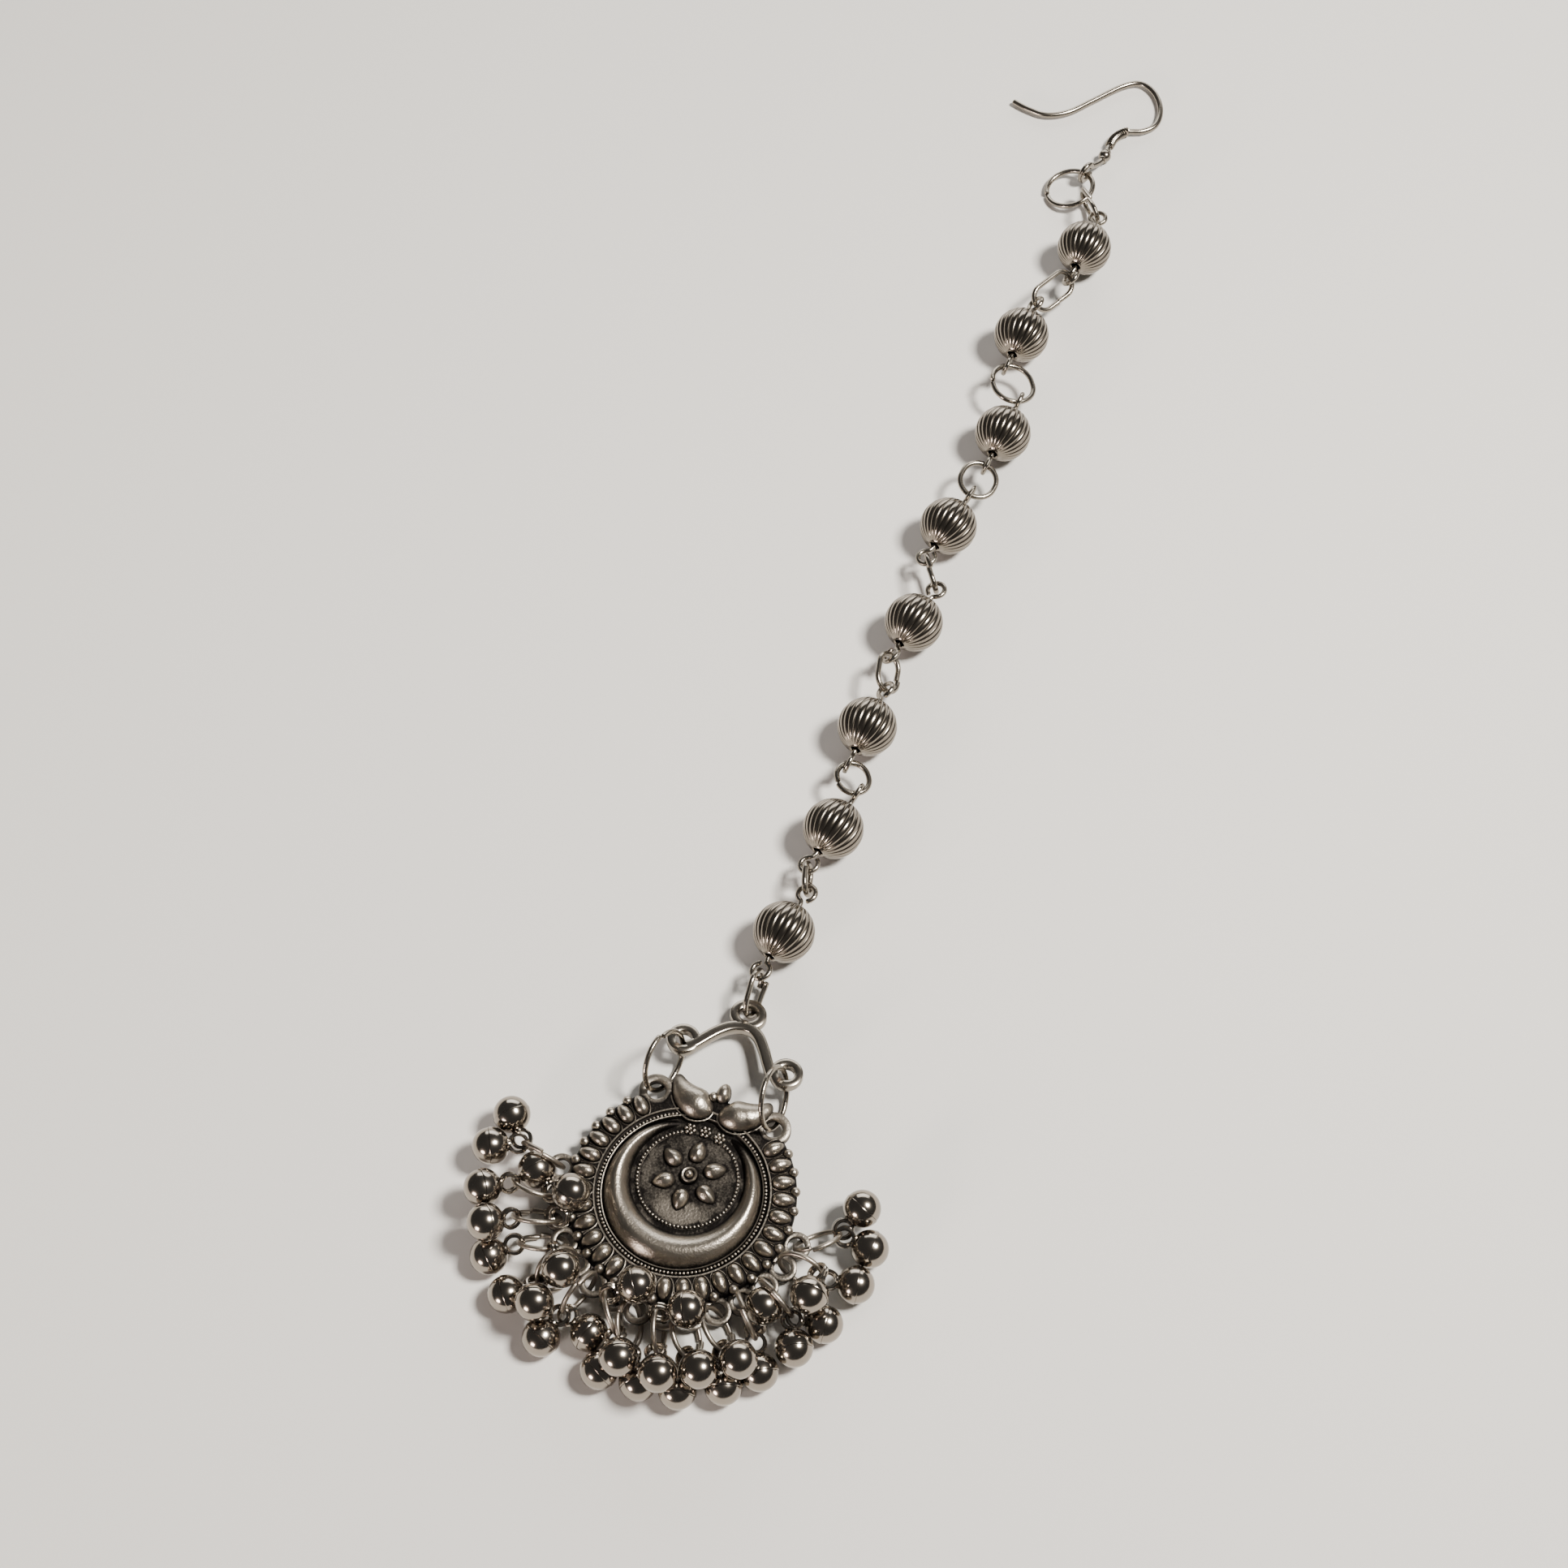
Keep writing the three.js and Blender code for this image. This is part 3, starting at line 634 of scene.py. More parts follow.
def petal_form():
    """A pointed petal with a soft keel, lying along +Y."""
    bm = ball(1.0, 20, 14)
    for spot in bm.verts:
        x, y, z = spot.co
        width = 0.92 * (1 - 0.1 * y)
        length = 1.18 * y + 0.22 * max(y, 0) ** 6
        keel = 0.1 * max(0, 1 - 7 * x * x) * (1 - y * y) if z > 0 else 0
        spot.co = (width * x, length, 0.95 * z * (1 - 0.12 * y) + keel)
    return form(bm, rubbed(0.22, 0.1, 0.7))


# The middle line of the left paisley from its head to its tail, as x and y.
PAISLEY_LINE = [
    (-0.3, 9.9), (-1.2, 9.75), (-2.1, 9.85), (-3.3, 10.25), (-4.25, 10.9), (-4.95, 11.7),
    (-5.35, 12.6),
]
PAISLEY_ROUTE = smooth_route([(x, y, 0) for x, y in PAISLEY_LINE], 0.08)


def paisley_spot(x, y):
    """A unit circle's point laid along a paisley: x from tail to head, y across it."""
    share = min(max((1 - x) / 2, 0), 1)
    index = min(int(share * (len(PAISLEY_ROUTE) - 1)), len(PAISLEY_ROUTE) - 2)
    last, following = PAISLEY_ROUTE[index : index + 2]
    along = (following - last).normalized()
    half_width = 2.02 - 0.8 * min(max((share - 0.28) / 0.52, 0), 1)
    here = last.lerp(following, share * (len(PAISLEY_ROUTE) - 1) - index)
    return here + Vector((-along.y, along.x, 0)) * half_width * y, half_width


def paisley_form():
    """A comma-shaped dome with a full head and a tail curling up, and the fine line below it."""
    bm = ball(1.0, 32, 24)
    quarter = Matrix.Rotation(math.pi / 2, 3, "Y")
    bmesh.ops.rotate(bm, verts=bm.verts, cent=(0, 0, 0), matrix=quarter)
    for spot in bm.verts:
        x, y, z = spot.co
        place, half_width = paisley_spot(x, y)
        depth = 0.92 if z > 0 else 0.3  # shallow below, to stay inside the plate
        spot.co = place + UP * half_width * z * depth
    dome = form(bm, rubbed(0.25, 0.15, 1.3, back=-0.1))
    turns = [math.radians(turn) for turn in range(8, 113, 8)]
    beside = 1.11  # the line runs just outside the dome
    route = [paisley_spot(math.cos(t), math.sin(t) * beside)[0] + UP * 0.28 for t in turns]
    line = form(wire(route, 0.1, 6), evenly(0.8))
    return form(assemble([(dome, Matrix()), (line, Matrix())]))


def bud_form():
    """An egg-shaped bud, fuller at its lower end."""
    bm = ball(1.0, 20, 14)
    for spot in bm.verts:
        x, y, z = spot.co
        spot.co = (0.84 * x * (1 - 0.12 * y), 1.2 * y, 1.15 * z)
    return form(bm, rubbed(0.25, 0.15, 0.9, back=-0.3))


def eye_form(size, top_wear, steps):
    """A cast eye: a flat ring with rounded edges, about z = 0."""
    half = size["thickness"] / 2
    section = rounded_section(size["outer"] - size["hole"], size["thickness"], 0.5, 12)
    profile = [((size["outer"] + size["hole"]) / 2 + x, z) for x, z in section]

    def wear(x, y, z):
        above = top_wear * step_between(-0.4 * half, half, z)
        return np.maximum(above, UNDERSIDE * step_between(0.3 * half, 0.9 * half, -z))

    return form(spun(profile, steps, closed=True), wear)


def dots_along(line, spacing):
    """Evenly spaced places on a circle that is open at the top."""
    opening, radius = line["opening"], line["radius"]
    count = round(2 * math.pi * radius * (1 - opening / 180) / spacing)
    turns = np.linspace(opening, 360 - opening, count + 1)
    return [Matrix.Translation(line["middle"] + heading(turn, radius)) for turn in turns]


def beaded_lines(dot, spacing):
    """One beaded line outside the crescent, and one on a raised seat round the field."""
    places = dots_along(OUTER_DOTS, spacing) + dots_along(INNER_DOTS, spacing * 1.05)
    seat = [(5.12, -0.1), (5.2, 0.06), (5.42, 0.1), (5.64, 0.06), (5.72, -0.1)]
    seat_ring = form(spun(seat, 144, closed=True), evenly(0.3))
    seat_place = Matrix.Translation((0, CRESCENT["offset"], FIELD))
    return [*((dot, place) for place in places), (seat_ring, seat_place)]


def flower_parts(dot, petals):
    """The flower in the field, and three small ones between the crescent's horns."""
    parts = []
    petal = petal_form()
    for i in range(petals):
        turn = Matrix.Rotation(-2 * math.pi * i / petals, 4, "Z")
        out = Matrix.Translation((0, PETAL_REACH, 0))
        parts.append((petal, Matrix.Translation(FLOWER) @ turn @ out))
    boss_profile = [
        (1.0, -0.2), (1.0, 0.3), (0.93, 0.52), (0.78, 0.64), (0.62, 0.6), (0.5, 0.46),
        (0.42, 0.5), (0.4, 0.72), (0.33, 0.92), (0.2, 1.05), (0, 1.1),
    ]
    boss = form(spun(boss_profile, 28), rubbed(0.15, 0.48, 0.75))
    parts.append((boss, Matrix.Translation(FLOWER)))
    for turn in FLORETS["turns"]:
        middle = heading(turn, FLORETS["reach"], FIELD + 0.12)
        parts.append((dot, Matrix.Translation(middle + UP * 0.22) @ Matrix.Scale(1.35, 4)))
        for k in range(6):
            spot = middle + heading(60 * k + 30, FLORETS["radius"], 0.06)
            parts.append((dot, Matrix.Translation(spot) @ Matrix.Scale(1.3, 4)))
    return parts


def seed_parts(seeds, step):
    """Seeds in their frames, with granules between them on the edge."""
    parts = []
    seed, frame_line = seed_form(), seed_frame_form()
    granule = form(ball(0.56, 12, 8), rubbed(0.3, 0.05, 0.45))
    for i in range(seeds):
        bearing = 180 + (i - (seeds - 1) / 2) * step
        turn = Matrix.Rotation(-math.radians(bearing), 4, "Z")
        place = Matrix.Translation(heading(bearing, SEED_REACH, GROUND)) @ turn
        parts += [(seed, place), (frame_line, place)]
        if i < seeds - 1:
            spot = heading(bearing + step / 2, GRANULE_REACH, GROUND - 0.15)
            parts.append((granule, Matrix.Translation(spot)))
    return parts


def crest_parts():
    """Two paisleys, the bud between them and a small lobe beside it."""
    paisley, bud = paisley_form(), bud_form()
    place = Matrix.Translation(PAISLEY_PLACE)
    lobe = Matrix.Translation(LOBE["place"]) @ Matrix.Diagonal(LOBE["scale"])
    return [
        (paisley, place),
        (paisley, place @ Matrix.Diagonal((-1, 1, 1, 1))),
        (bud, Matrix.Translation(BUD_PLACE)),
        (bud, lobe),
    ]


def lug_parts(lugs, step):
    """The eyes for the fringe, and two larger ones for the side rings."""
    parts = []
    lug, top_lug = eye_form(LUG, 0.62, 28), eye_form(TOP_LUG, 0.62, 36)
    for i in range(lugs):
        bearing = 180 - (i - (lugs - 1) / 2) * step
        parts.append((lug, Matrix.Translation(heading(bearing, LUG["reach"], LUG["height"]))))
    for side in (-1, 1):
        spot = heading(side * TOP_LUG["turn"], TOP_LUG["reach"], TOP_LUG["height"])
        parts.append((top_lug, Matrix.Translation(spot)))
    return parts


def tarnish(bm, cloth, rays=14):
    """Lowers the wear of points that are closed in, where a polishing cloth can't reach.

    cloth is how far from a point, in millimetres, other metal keeps the cloth off it.
    """
    tree = BVHTree.FromBMesh(bm)
    layer = bm.verts.layers.float["wear"]
    golden = math.pi * (3 - math.sqrt(5))  # the turn that spreads rays evenly
    fan = []
    for i in range(rays):
        height = 1 - (i + 0.5) / rays * 0.92
        flat = math.sqrt(1 - height * height)
        fan.append(Vector((flat * math.cos(golden * i), flat * math.sin(golden * i), height)))
    bm.normal_update()
    for spot in bm.verts:
        if spot.normal.z < -0.3:
            continue
        turn = spot.normal.to_track_quat("Z", "X").to_matrix()
        start = spot.co + spot.normal * 0.03
        hits = [tree.ray_cast(start, turn @ ray, cloth)[3] for ray in fan]
        openness = sum(1.0 if hit is None else hit / cloth for hit in hits) / rays
        spot[layer] *= float(step_between(0.15, 0.92, openness))


class TIKKA_OT_pendant(Operator):
    """Build the cast pendant with its crescent, flower, rim and crest"""

    bl_idname = "tikka.pendant"
    bl_label = "Pendant"

    def execute(self, context):
        settings = context.scene.tikka_pendant
        dot = form(ball(0.19, 8, 5), rubbed(0.35, 0.0, 0.15))
        parts = [
            (disc_form(), Matrix()),
            (crescent_form(), Matrix.Translation((0, SETTLED, FIELD))),
            *beaded_lines(dot, settings.dot_spacing / MM),
            *flower_parts(dot, settings.petals),
            *seed_parts(settings.seeds, math.degrees(settings.seed_step)),
            *crest_parts(),
            *lug_parts(settings.lugs, math.degrees(settings.lug_step)),
        ]
        bm = assemble(parts)
        tarnish(bm, cloth=1.3)
        bmesh.ops.translate(bm, vec=pendant_origin(), verts=bm.verts)
        finish_piece("pendant_silver", bm, "cast_silver", "pendant")
        return {"FINISHED"}


# ---- Fringe ----
BELL = 2.05
CAD_BELL = 2.0
SEAM = -0.11  # height of the line where a bell's halves meet
SHANK = {"middle": 2.95, "radius": 0.97, "wire": 0.22, "beside": 0.21}
HANGS_BY = 3.5  # from a bell's middle in the frame to the middle line of its ring's wire
DROP_RING = {"radius": 2.5, "wire": 0.28, "gap": 0.06, "skew": 0.24}


def bell_form(seam):
    """A bell of two pressed halves with a lipped seam, and a doubled wire shank along +Z."""
    lower = BELL - seam
    turns = [math.radians(turn) for turn in range(8, 88, 8)]
    profile = [
        (0, -lower),
        *((lower * math.sin(t), -lower * math.cos(t)) for t in turns),
        (lower - 0.02, -0.13), (lower - 0.05, -0.1), (BELL - 0.01, -0.09),  # the seam
        (BELL + 0.012, -0.05), (BELL + 0.012, 0.04),  # the upper half's lip
        *((BELL * math.sin(t), BELL * math.cos(t)) for t in reversed(turns[1:])),
        (0.6, BELL - 0.09), (0.56, BELL + 0.06), (0.45, BELL + 0.14), (0, BELL + 0.16),  # the cap
    ]

    def wear(x, y, z):
        beside_seam = step_between(0.02, 0.09, abs(z - SEAM))
        collar = np.maximum(step_between(0.05, 0.25, abs(z - BELL + 0.06)), np.hypot(x, y) > 0.9)
        return 0.1 + 0.9 * beside_seam * collar

    body = form(spun(profile, 32), wear)
    section = rounded_section(2 * SHANK["wire"], 2 * SHANK["wire"], sides=8)
    strand = form(spun([(SHANK["radius"] + x, z) for x, z in section], 22, closed=True))
    stand = Matrix.Translation((0, 0, SHANK["middle"])) @ Matrix.Rotation(math.pi / 2, 4, "Y")
    strands = [
        (strand, stand @ Matrix.Translation((0, 0, side * SHANK["beside"]))) for side in (-1, 1)
    ]
    return form(assemble([(body, Matrix()), *strands]))


def clear_turn(taken):
    """The turn in degrees that is farthest from the ones taken by a ring's lug and bells."""

    def space(turn):
        return min(abs((turn - other + 180) % 360 - 180) for other in taken)

    return max(range(-180, 180, 5), key=space)


class TIKKA_OT_bell_drops(Operator):
    """Build the split rings of the fringe, each with its two bells"""

    bl_idname = "tikka.bell_drops"
    bl_label = "Bell drops"

    def execute(self, context):
        bell = bell_form(context.scene.tikka_chain.seam / MM)
        radius, thick = DROP_RING["radius"], DROP_RING["wire"]
        inwards = pendant_origin()
        for node in nodes_called("bell_drop"):
            points = corners(node)
            middle, rim = round_centres(points, 2 * (radius + thick), 1)[0]
            normal = own_axes(rim)[1][2]
            out = middle - inwards
            out = (out - normal * out.dot(normal)).normalized()
            across = normal.cross(out)
            parts, taken = [], [180.0]
            for centre, _ in round_centres(points, 2 * CAD_BELL, 2):
                way = centre - middle
                way = (way - normal * way.dot(normal)).normalized()
                hung = min(
                    (way, -way), key=lambda w: abs((centre - middle - w * radius).length - HANGS_BY)
                )
                tangent = normal.cross(hung)
                shank_way = (middle + hung * radius - centre).normalized()
                parts.append((bell, placement(centre, tangent, shank_way.cross(tangent))))
                taken.append(math.degrees(math.atan2(hung.dot(across), hung.dot(out))))
            joint = clear_turn(taken) / 360
            gap, skew = DROP_RING["gap"], DROP_RING["skew"]
            route = ring_route(middle, out, across, radius, radius, joint, gap, skew)
            parts.append((form(wire(route, thick), evenly(DRAWN)), Matrix()))
            finish_piece(f"{node}_silver", assemble(parts), "bell_silver", node)
        return {"FINISHED"}


# ---- Hanger ----
# The arch's middle line in the hanger's plane, from the point midway between its lower eyes.
ARCH = [
    (-5.35, -0.75), (-4.65, -0.1), (-3.85, 1.1), (-2.95, 2.35), (-1.9, 3.35), (-0.85, 3.85),
    (0.0, 3.98), (0.85, 3.8), (1.75, 3.15), (2.8, 1.8), (3.75, 0.35), (4.55, -0.75),
]
ARCH_BAR = 1.25
HANGER_EYE = {"hole": 0.88, "outer": 1.87, "thickness": 1.25}
CAD_EYE = {"across": 3.7, "thickness": 1.0}
TOP_EYE_STRETCH = (1.12, 1.04, 1, 1)
WEB = {"place": (-0.25, 4.35, 0), "scale": (1.25, 0.55, 0.5, 1)}  # joins the arch to the top eye


class TIKKA_OT_hanger(Operator):
    """Build the cast hanger: three eyes and the arch that joins them"""

    bl_idname = "tikka.hanger"
    bl_label = "Hanger"

    def execute(self, context):
        points = corners("hanger")
        corner_to_corner = math.hypot(CAD_EYE["across"], CAD_EYE["thickness"])
        centres = [centre for centre, _ in round_centres(points, corner_to_corner, 3)]
        top = max(centres, key=lambda centre: centre.y)
        left, right = sorted((c for c in centres if c is not top), key=lambda centre: centre.x)
        across = (right - left).normalized()
        middle = (left + right) / 2
        rise = (top - middle) - across * (top - middle).dot(across)
        rise.normalize()
        normal = across.cross(rise)
        plate = Matrix.Translation(middle) @ Matrix((across, rise, normal)).transposed().to_4x4()
        flat = plate.to_3x3().to_4x4()
        eye = eye_form(HANGER_EYE, 1.0, 40)
        stretched = flat @ Matrix.Diagonal(TOP_EYE_STRETCH)
        parts = [
            (eye, Matrix.Translation(centre) @ (stretched if centre is top else flat))
            for centre in centres
        ]
        route = smooth_route([(x, y, 0) for x, y in ARCH], 0.3)
        bar = swept(rounded_section(ARCH_BAR, ARCH_BAR, 0.42), stations(route, UP))
        parts.append((form(bar, rubbed(0.6, 0, 0.5)), plate))
        web = Matrix.Translation(WEB["place"]) @ Matrix.Diagonal(WEB["scale"])
        parts.append((form(ball(1.0, 16, 10)), plate @ web))
        finish_piece("hanger_silver", assemble(parts), "silver_wire", "hanger")
        return {"FINISHED"}


# ---- Rings, beads and pins ----
# joint is where a ring's ends meet, as a share of its length from its upper tip, gap the space
# between them and skew how far they pass. The hanger's link is sprung and its ends overlap.
BENT_RINGS = {
    "hanger_link": {"wire": 0.32, "joint": 0.17, "gap": -0.9, "skew": 0.8, "round": False},
    "side_ring_left": {"wire": 0.3, "joint": 0.7, "gap": 0.08, "skew": 0.3, "round": True},
    "side_ring_right": {"wire": 0.3, "joint": 0.3, "gap": 0.08, "skew": 0.3, "round": True},
    "hook_ring": {"wire": 0.35, "joint": 0.62, "gap": 0.08, "skew": 0.3, "round": True},
}
CHAIN_RING = {"wire": 0.33, "gap": 0.07, "skew": 0.3, "round": False}
CAD_LINK_SIDES = 16  # sides of an oval ring's outline in the frame


class TIKKA_OT_rings(Operator):
    """Build the bent rings: side rings, chain rings, the hanger's link and the hook's ring"""

    bl_idname = "tikka.rings"
    bl_label = "Rings"

    def execute(self, context):
        for number, node in enumerate(sorted([*nodes_called("chain_ring"), *BENT_RINGS])):
            points = corners(node)
            middle, (long, wide, _) = own_axes(points)
            long = -long if long.y < 0 else long
            wide = -wide if wide.x < 0 else wide
            # The chain's rings meet at one side or the other, and not all at the same height.
            joint = (0.25 if number % 2 else 0.75) + 0.03 * (number % 3 - 1)
            bend = BENT_RINGS.get(node, CHAIN_RING | {"joint": joint})
            thick = bend["wire"]
            if bend["round"]:
                rim = np.linalg.norm(points - np.array(middle), axis=1).max()
                half_long = half_wide = rim - thick
            else:
                wide_reach = reach(points, middle, wide)
                half_wide = wide_reach / math.cos(math.pi / CAD_LINK_SIDES) - thick
                half_long = max(reach(points, middle, long) - wide_reach, 0) + half_wide
            ends = (bend["joint"], bend["gap"], bend["skew"])
            route = ring_route(middle, long, wide, half_long, half_wide, *ends)
            bm = assemble([(form(wire(route, thick, 12)), Matrix())])
            finish_piece(f"{node}_wire", bm, "silver_wire", node)
        return {"FINISHED"}


BEAD = {"radius": 3.5, "bore": 0.6, "collar": 0.86}
BEADS = range(1, 9)
GROOVES = (0.95, 2.2)  # how far from a bead's axis they start, and are at full depth
RIB_ROUNDNESS = 0.5  # 1 is a round rib, and less is flatter with narrower grooves


def valley(flutes, x, y):
    """0 on a bead's ribs and 1 at the bottom of its grooves."""
    return 1 - abs(np.cos(flutes * np.arctan2(y, x) / 2)) ** RIB_ROUNDNESS


def bead_form(flutes, depth):
    """A fluted bead about Z, open through its bore, with a plain collar at each end."""
    radius, bore, collar = BEAD["radius"], BEAD["bore"], BEAD["collar"]
    ends = math.asin(GROOVES[0] / radius)
    tip = radius * math.cos(ends)
    turns = np.linspace(ends, math.pi - ends, 23)
    upper = [(collar, tip + 0.1), (bore + 0.08, tip + 0.1), (bore, tip)]
    lower = [(away, -height) for away, height in reversed(upper)]
    side = [(radius * math.sin(t), -radius * math.cos(t)) for t in turns]
    bm = spun([*lower, *side, *upper], flutes * 8, closed=True)
    for spot in bm.verts:
        distance = math.hypot(spot.co.x, spot.co.y)
        cut = depth * valley(flutes, *spot.co.xy) * step_between(*GROOVES, distance)
        spot.co.xy *= 1 - float(cut) / distance

    def wear(x, y, z):
        away = step_between(0.7, 1.4, np.hypot(x, y))
        return 1 - 0.95 * step_between(0.15, 0.6, valley(flutes, x, y)) * away

    return form(bm, wear)


class TIKKA_OT_beads(Operator):
    """Build the fluted beads"""

    bl_idname = "tikka.beads"
    bl_label = "Beads"

    def execute(self, context):
        chain = context.scene.tikka_chain
        bead = bead_form(chain.flutes, chain.flute_depth / MM)
        for number in BEADS:
            low, high = (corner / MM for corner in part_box(f"bead_{number}"))
            axis = own_axes(corners(f"eye_pin_{number}"))[1][0]
            turn = Matrix.Rotation(math.radians(5 * number), 4, "Z")
            place = placement((low + high) / 2, UP, axis.cross(UP)) @ turn
            bm = assemble([(bead, place)])
            finish_piece(f"bead_{number}_silver", bm, "bead_silver", f"bead_{number}")
        return {"FINISHED"}


EYE = {"radius": 1.04, "reach": 5.4, "from": 4.75, "wire": 0.3}


def eye_route(middle, out, side):
    """The turned eye at one end of a pin, from its stem round to its cut end."""
    centre = middle + out * EYE["reach"]
    turns = [math.radians(turn) for turn in range(164, -157, -16)]
    return [centre + (out * math.cos(t) + side * math.sin(t)) * EYE["radius"] for t in turns]


class TIKKA_OT_eye_pins(Operator):
    """Build the pins through the beads, with an eye turned at each end"""

    bl_idname = "tikka.eye_pins"
    bl_label = "Eye pins"

    def execute(self, context):
        for number in BEADS:
            node = f"eye_pin_{number}"
            points = corners(node)
            low, high = (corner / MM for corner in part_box(f"bead_{number}"))
            middle = (low + high) / 2
            axis = own_axes(points)[1][0]
            ends = []
            for out in (axis, -axis):
                along = (points - np.array(middle)) @ np.array(out)
                normal = own_axes(points[along > EYE["from"]])[1][2]
                ends.append(eye_route(middle, out, normal.cross(out).normalized()))
            stem = [middle + axis * place for place in (3.9, 2.0, -2.0, -3.9)]
            route = smooth_route([*reversed(ends[0]), *stem, *ends[1]], 0.3)
            bm = assemble([(form(wire(route, EYE["wire"], 10)), Matrix())])
            finish_piece(f"{node}_wire", bm, "silver_wire", node)
        return {"FINISHED"}


# ---- Hook ----
LYING = 0.43  # height of wire that lies on the floor
# The hook's wire from its tip to its eye: x, y and height from the low corner of its box.
HOOK_ROUTE = [
    (0.1, 11.54, LYING), (2.4, 10.84, LYING), (5.1, 10.64, LYING), (7.8, 12.14, LYING),
    (10.5, 15.44, LYING), (13.5, 19.14, LYING), (15.7, 20.44, LYING), (17.9, 19.44, LYING),
    (19.5, 16.84, LYING), (19.7, 13.94, LYING), (18.3, 12.14, LYING), (16.2, 11.14, 0.55),
    (15.1, 9.54, 0.66), (14.8, 7.74, 0.72), (14.7, 5.74, 0.86), (14.35, 4.1, 1.15),
]
HOOK_EYE = {"middle": (13.25, 1.44, 1.6), "radius": 1.15, "turn": 68}
HOOK_WIRE = 0.4
COIL = {"from": (16.35, 11.2), "to": (14.8, 7.75), "wire": 0.13, "pitch": 0.29}
HOOK_BALL = {"middle": (14.7, 5.74, 0.86), "radius": 0.85}


class TIKKA_OT_ear_hook(Operator):
    """Build the hair hook: bent wire with a binding coil, a small ball and an eye"""

    bl_idname = "tikka.ear_hook"
    bl_label = "Hair hook"

    def execute(self, context):
        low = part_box("ear_hook")[0] / MM
        centre = low + Vector(HOOK_EYE["middle"])
        out = heading(90 - HOOK_EYE["turn"]) * -1
        turns = [math.radians(turn) for turn in range(180, -160, -15)]
        loop = [
            centre + (out * math.cos(t) + UP * math.sin(t)) * HOOK_EYE["radius"] for t in turns[1:]
        ]
        route = smooth_route([*(low + Vector(spot) for spot in HOOK_ROUTE), *loop], 0.3)
        parts = [(form(wire(route, HOOK_WIRE, 14)), Matrix())]

        # A fine wire wound closely round the hook's neck.
        places = stations(route)
        first, last = (
            min(range(len(route)), key=lambda i: (route[i].xy - low.xy - Vector(COIL[end])).length)
            for end in ("from", "to")
        )
        neck = places[first : last + 1]
        length = sum((b.translation - a.translation).length for a, b in zip(neck, neck[1:]))
        per_turn = 12
        count = int(length / COIL["pitch"] * per_turn)
        winding = []
        for i in range(count + 1):
            spot = i / count * (len(neck) - 1)
            index = min(int(spot), len(neck) - 2)
            here = neck[index].lerp(neck[index + 1], spot - index)
            turn = 2 * math.pi * i / per_turn
            off = Vector((math.cos(turn), math.sin(turn), 0)) * (HOOK_WIRE + COIL["wire"])
            winding.append(here @ off)
        parts.append((form(wire(winding, COIL["wire"], 6)), Matrix()))

        ball_spot = low + Vector(HOOK_BALL["middle"])
        way = (Vector(HOOK_ROUTE[-1]) - Vector(HOOK_ROUTE[-3])).normalized()
        turn = way.to_track_quat("Z", "X").to_matrix().to_4x4()
        collar = [(0.58, 0.74), (0.56, 0.9), (HOOK_WIRE * 0.9, 0.95)]
        radius = HOOK_BALL["radius"]
        steps = [math.radians(t) for t in range(140, 39, -10)]
        profile = [
            *((away, -height) for away, height in reversed(collar)),
            *((radius * math.sin(t), radius * math.cos(t)) for t in steps),
            *collar,
        ]
        parts.append((form(spun(profile, 28, closed=True)), Matrix.Translation(ball_spot) @ turn))
        finish_piece("ear_hook_wire", assemble(parts), "silver_wire", "ear_hook")
        return {"FINISHED"}


# ---- Stage ----
# The stage is in metres, about a point over the middle of the floor.
STAGE_MIDDLE = Vector((0, 0, 0.004))
FLOOR = {"half": 4, "level": -0.1 * MM}  # just under the lowest bell
# A key from the right, a low fill from the near side and a wide panel behind.
LIGHTS = {
    "key": {"from": (0.38, 0.1, 0.68), "size": (0.17, 0.17), "colour": "#fffaf2"},
    "fill": {"from": (-0.24, -0.6, 0.16), "size": (0.16, 0.12), "colour": "#ffece4"},
    "panel": {"from": (-0.2, 0.75, 0.28), "size": (0.9, 0.4), "colour": "#fbfaf6"},
}
SKY = {"colour": "#d8d6d4", "strength": 0.12}
CAMERA = {"from_pendant": (0.04132, -0.08521, 0.26148), "tilt": 29, "turn": 19.3, "lens": 58.7}


def area_light(name, way, size, power, colour):
    """A soft lamp that faces the middle of the stage."""
    light = bpy.data.lights.new(name, "AREA")
    light.shape = "RECTANGLE"
    light.size, light.size_y = size
    light.energy = power
    light.color = colour[:3]
    light.spread = math.radians(110)
    lamp = bpy.data.objects.new(name, light)
    lamp.location = STAGE_MIDDLE + way
    lamp.rotation_euler = way.to_track_quat("Z", "Y").to_euler()
    bpy.context.scene.collection.objects.link(lamp)


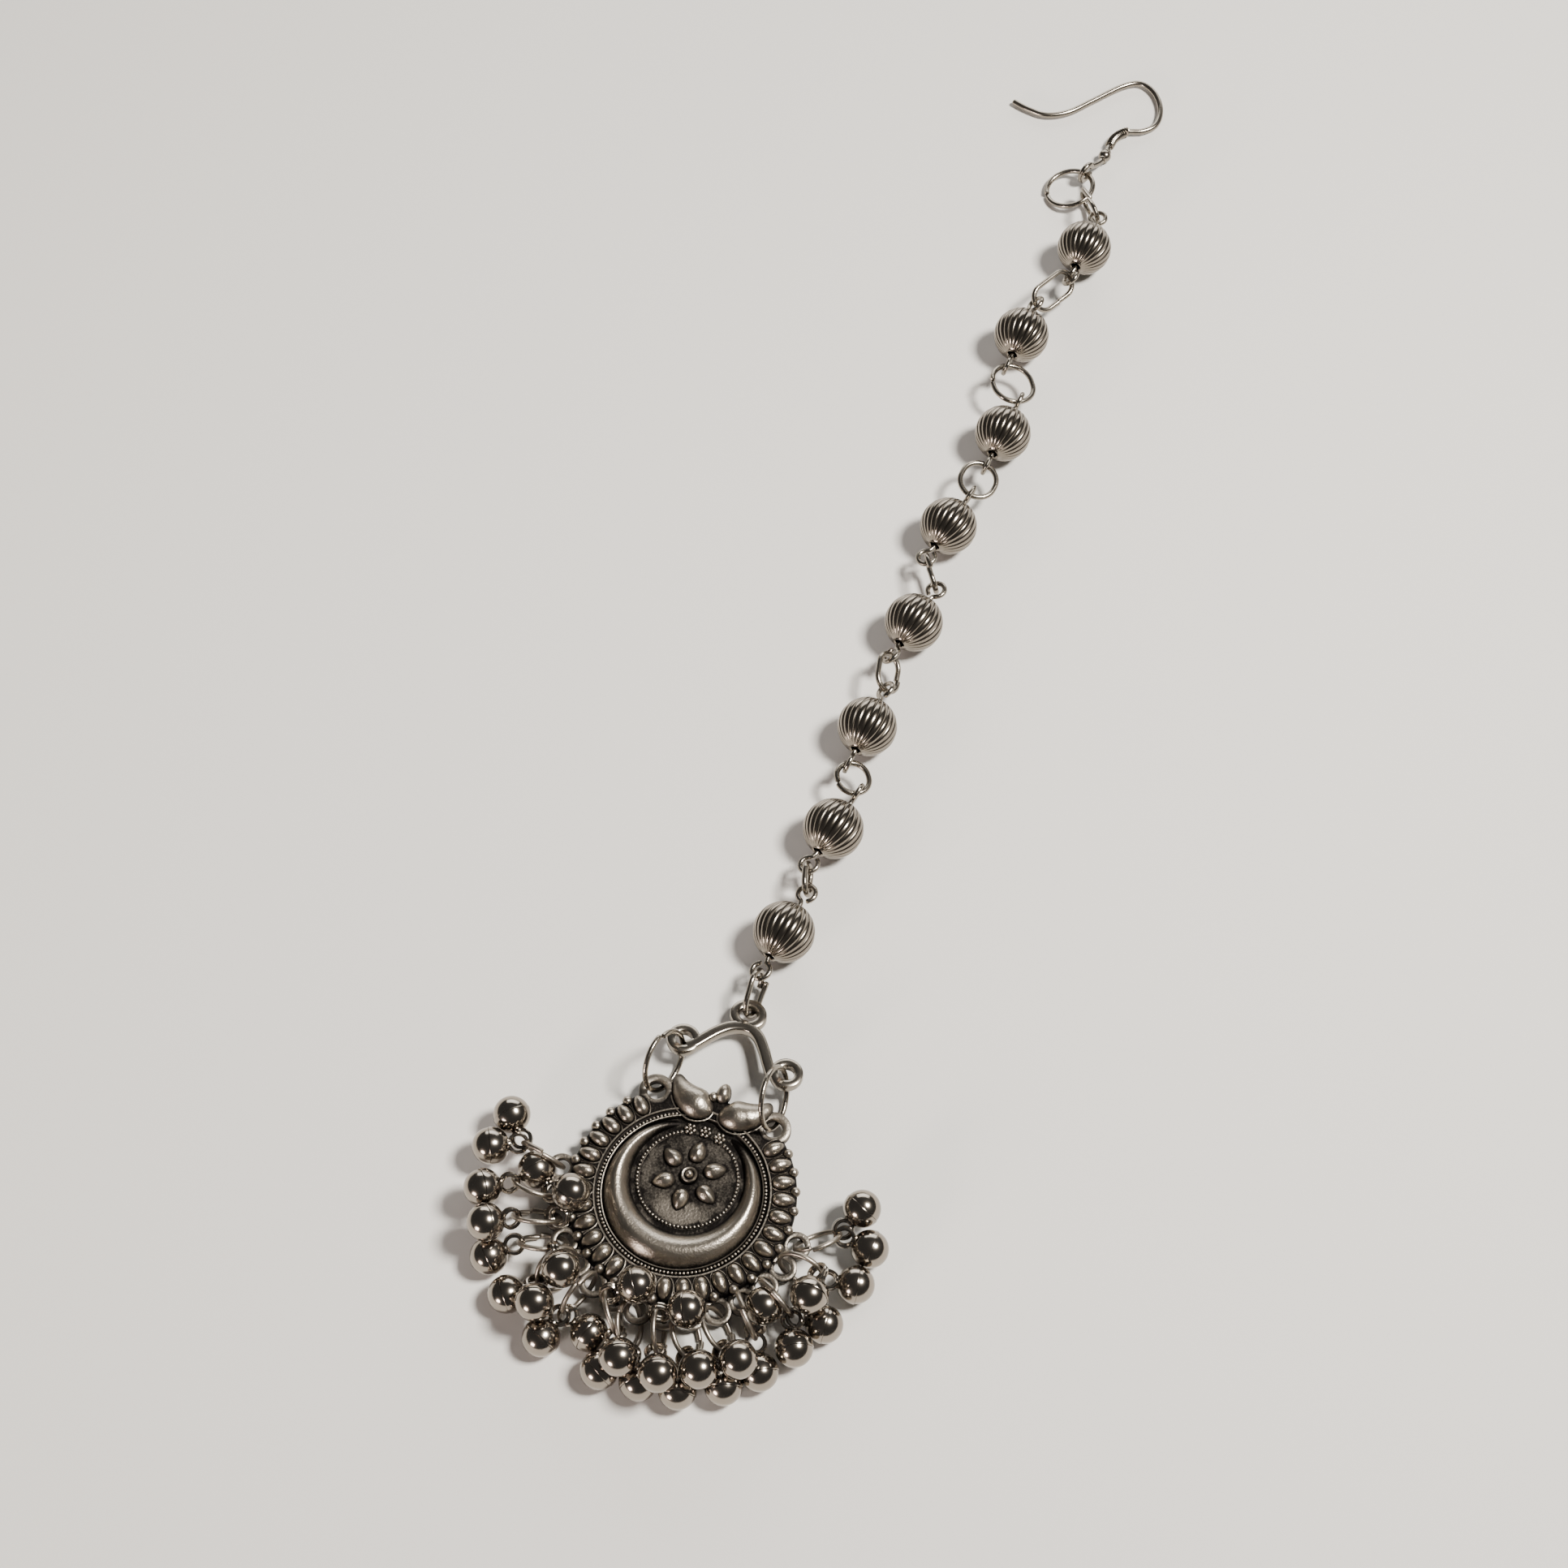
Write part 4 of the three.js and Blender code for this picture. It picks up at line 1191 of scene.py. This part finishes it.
class TIKKA_OT_stage(Operator):
    """Set up the floor, the lights and the camera"""

    bl_idname = "tikka.stage"
    bl_label = "Stage"

    def execute(self, context):
        settings = context.scene.tikka_stage
        bm = bmesh.new()
        bmesh.ops.create_grid(bm, x_segments=8, y_segments=8, size=FLOOR["half"])
        bmesh.ops.translate(bm, vec=(0, 0, FLOOR["level"]), verts=bm.verts)
        mesh = bpy.data.meshes.new("floor")
        bm.to_mesh(mesh)
        bm.free()
        mesh.materials.append(studio_paper("studio paper", tuple(settings.floor)))
        floor = bpy.data.objects.new("floor", mesh)
        context.scene.collection.objects.link(floor)

        world = bpy.data.worlds.new("studio")
        world.use_nodes = True
        sky = world.node_tree.nodes["Background"].inputs
        sky["Color"].default_value = linear(SKY["colour"])
        sky["Strength"].default_value = SKY["strength"]
        context.scene.world = world

        for name, lamp in LIGHTS.items():
            way, power = Vector(lamp["from"]), getattr(settings, name)
            area_light(name, way, lamp["size"], power, linear(lamp["colour"]))

        lens = bpy.data.cameras.new("camera")
        lens.sensor_width = 36
        lens.lens = CAMERA["lens"]
        lens.clip_start = 10 * MM
        camera = bpy.data.objects.new("camera", lens)
        camera.location = pendant_origin().xy.to_3d() * MM + Vector(CAMERA["from_pendant"])
        camera.rotation_euler = (math.radians(CAMERA["tilt"]), 0, math.radians(CAMERA["turn"]))
        context.scene.collection.objects.link(camera)
        context.scene.camera = camera
        return {"FINISHED"}


OPERATORS = (
    TIKKA_OT_stage,
    TIKKA_OT_pendant,
    TIKKA_OT_bell_drops,
    TIKKA_OT_hanger,
    TIKKA_OT_rings,
    TIKKA_OT_beads,
    TIKKA_OT_eye_pins,
    TIKKA_OT_ear_hook,
)
GROUPS = {
    "tikka_pendant": TikkaPendant,
    "tikka_chain": TikkaChain,
    "tikka_finish": TikkaFinish,
    "tikka_stage": TikkaStage,
}


class TIKKA_PT_panel(Panel):
    """The tikka's settings and the steps that build it"""

    bl_idname = "TIKKA_PT_panel"
    bl_label = "Maang Tikka"
    bl_space_type = "VIEW_3D"
    bl_region_type = "UI"
    bl_category = "Tikka"

    def draw(self, context):
        for operator in OPERATORS:
            self.layout.operator(operator.bl_idname)
        for name, group in GROUPS.items():
            box = self.layout.box()
            for setting in group.__annotations__:
                box.prop(getattr(context.scene, name), setting)


def register():
    for group in GROUPS.values():
        bpy.utils.register_class(group)
    for name, group in GROUPS.items():
        setattr(bpy.types.Scene, name, PointerProperty(type=group))
    for operator in OPERATORS:
        bpy.utils.register_class(operator)
    bpy.utils.register_class(TIKKA_PT_panel)


def unregister():
    bpy.utils.unregister_class(TIKKA_PT_panel)
    for operator in reversed(OPERATORS):
        bpy.utils.unregister_class(operator)
    for name, group in GROUPS.items():
        delattr(bpy.types.Scene, name)
        bpy.utils.unregister_class(group)


def main():
    register()
    for operator in OPERATORS:
        getattr(bpy.ops.tikka, operator.bl_idname.split(".")[1])()
    for mesh in [mesh for mesh in bpy.data.meshes if mesh.name.startswith("form")]:
        bpy.data.meshes.remove(mesh)


if __name__ == "__main__":
    main()
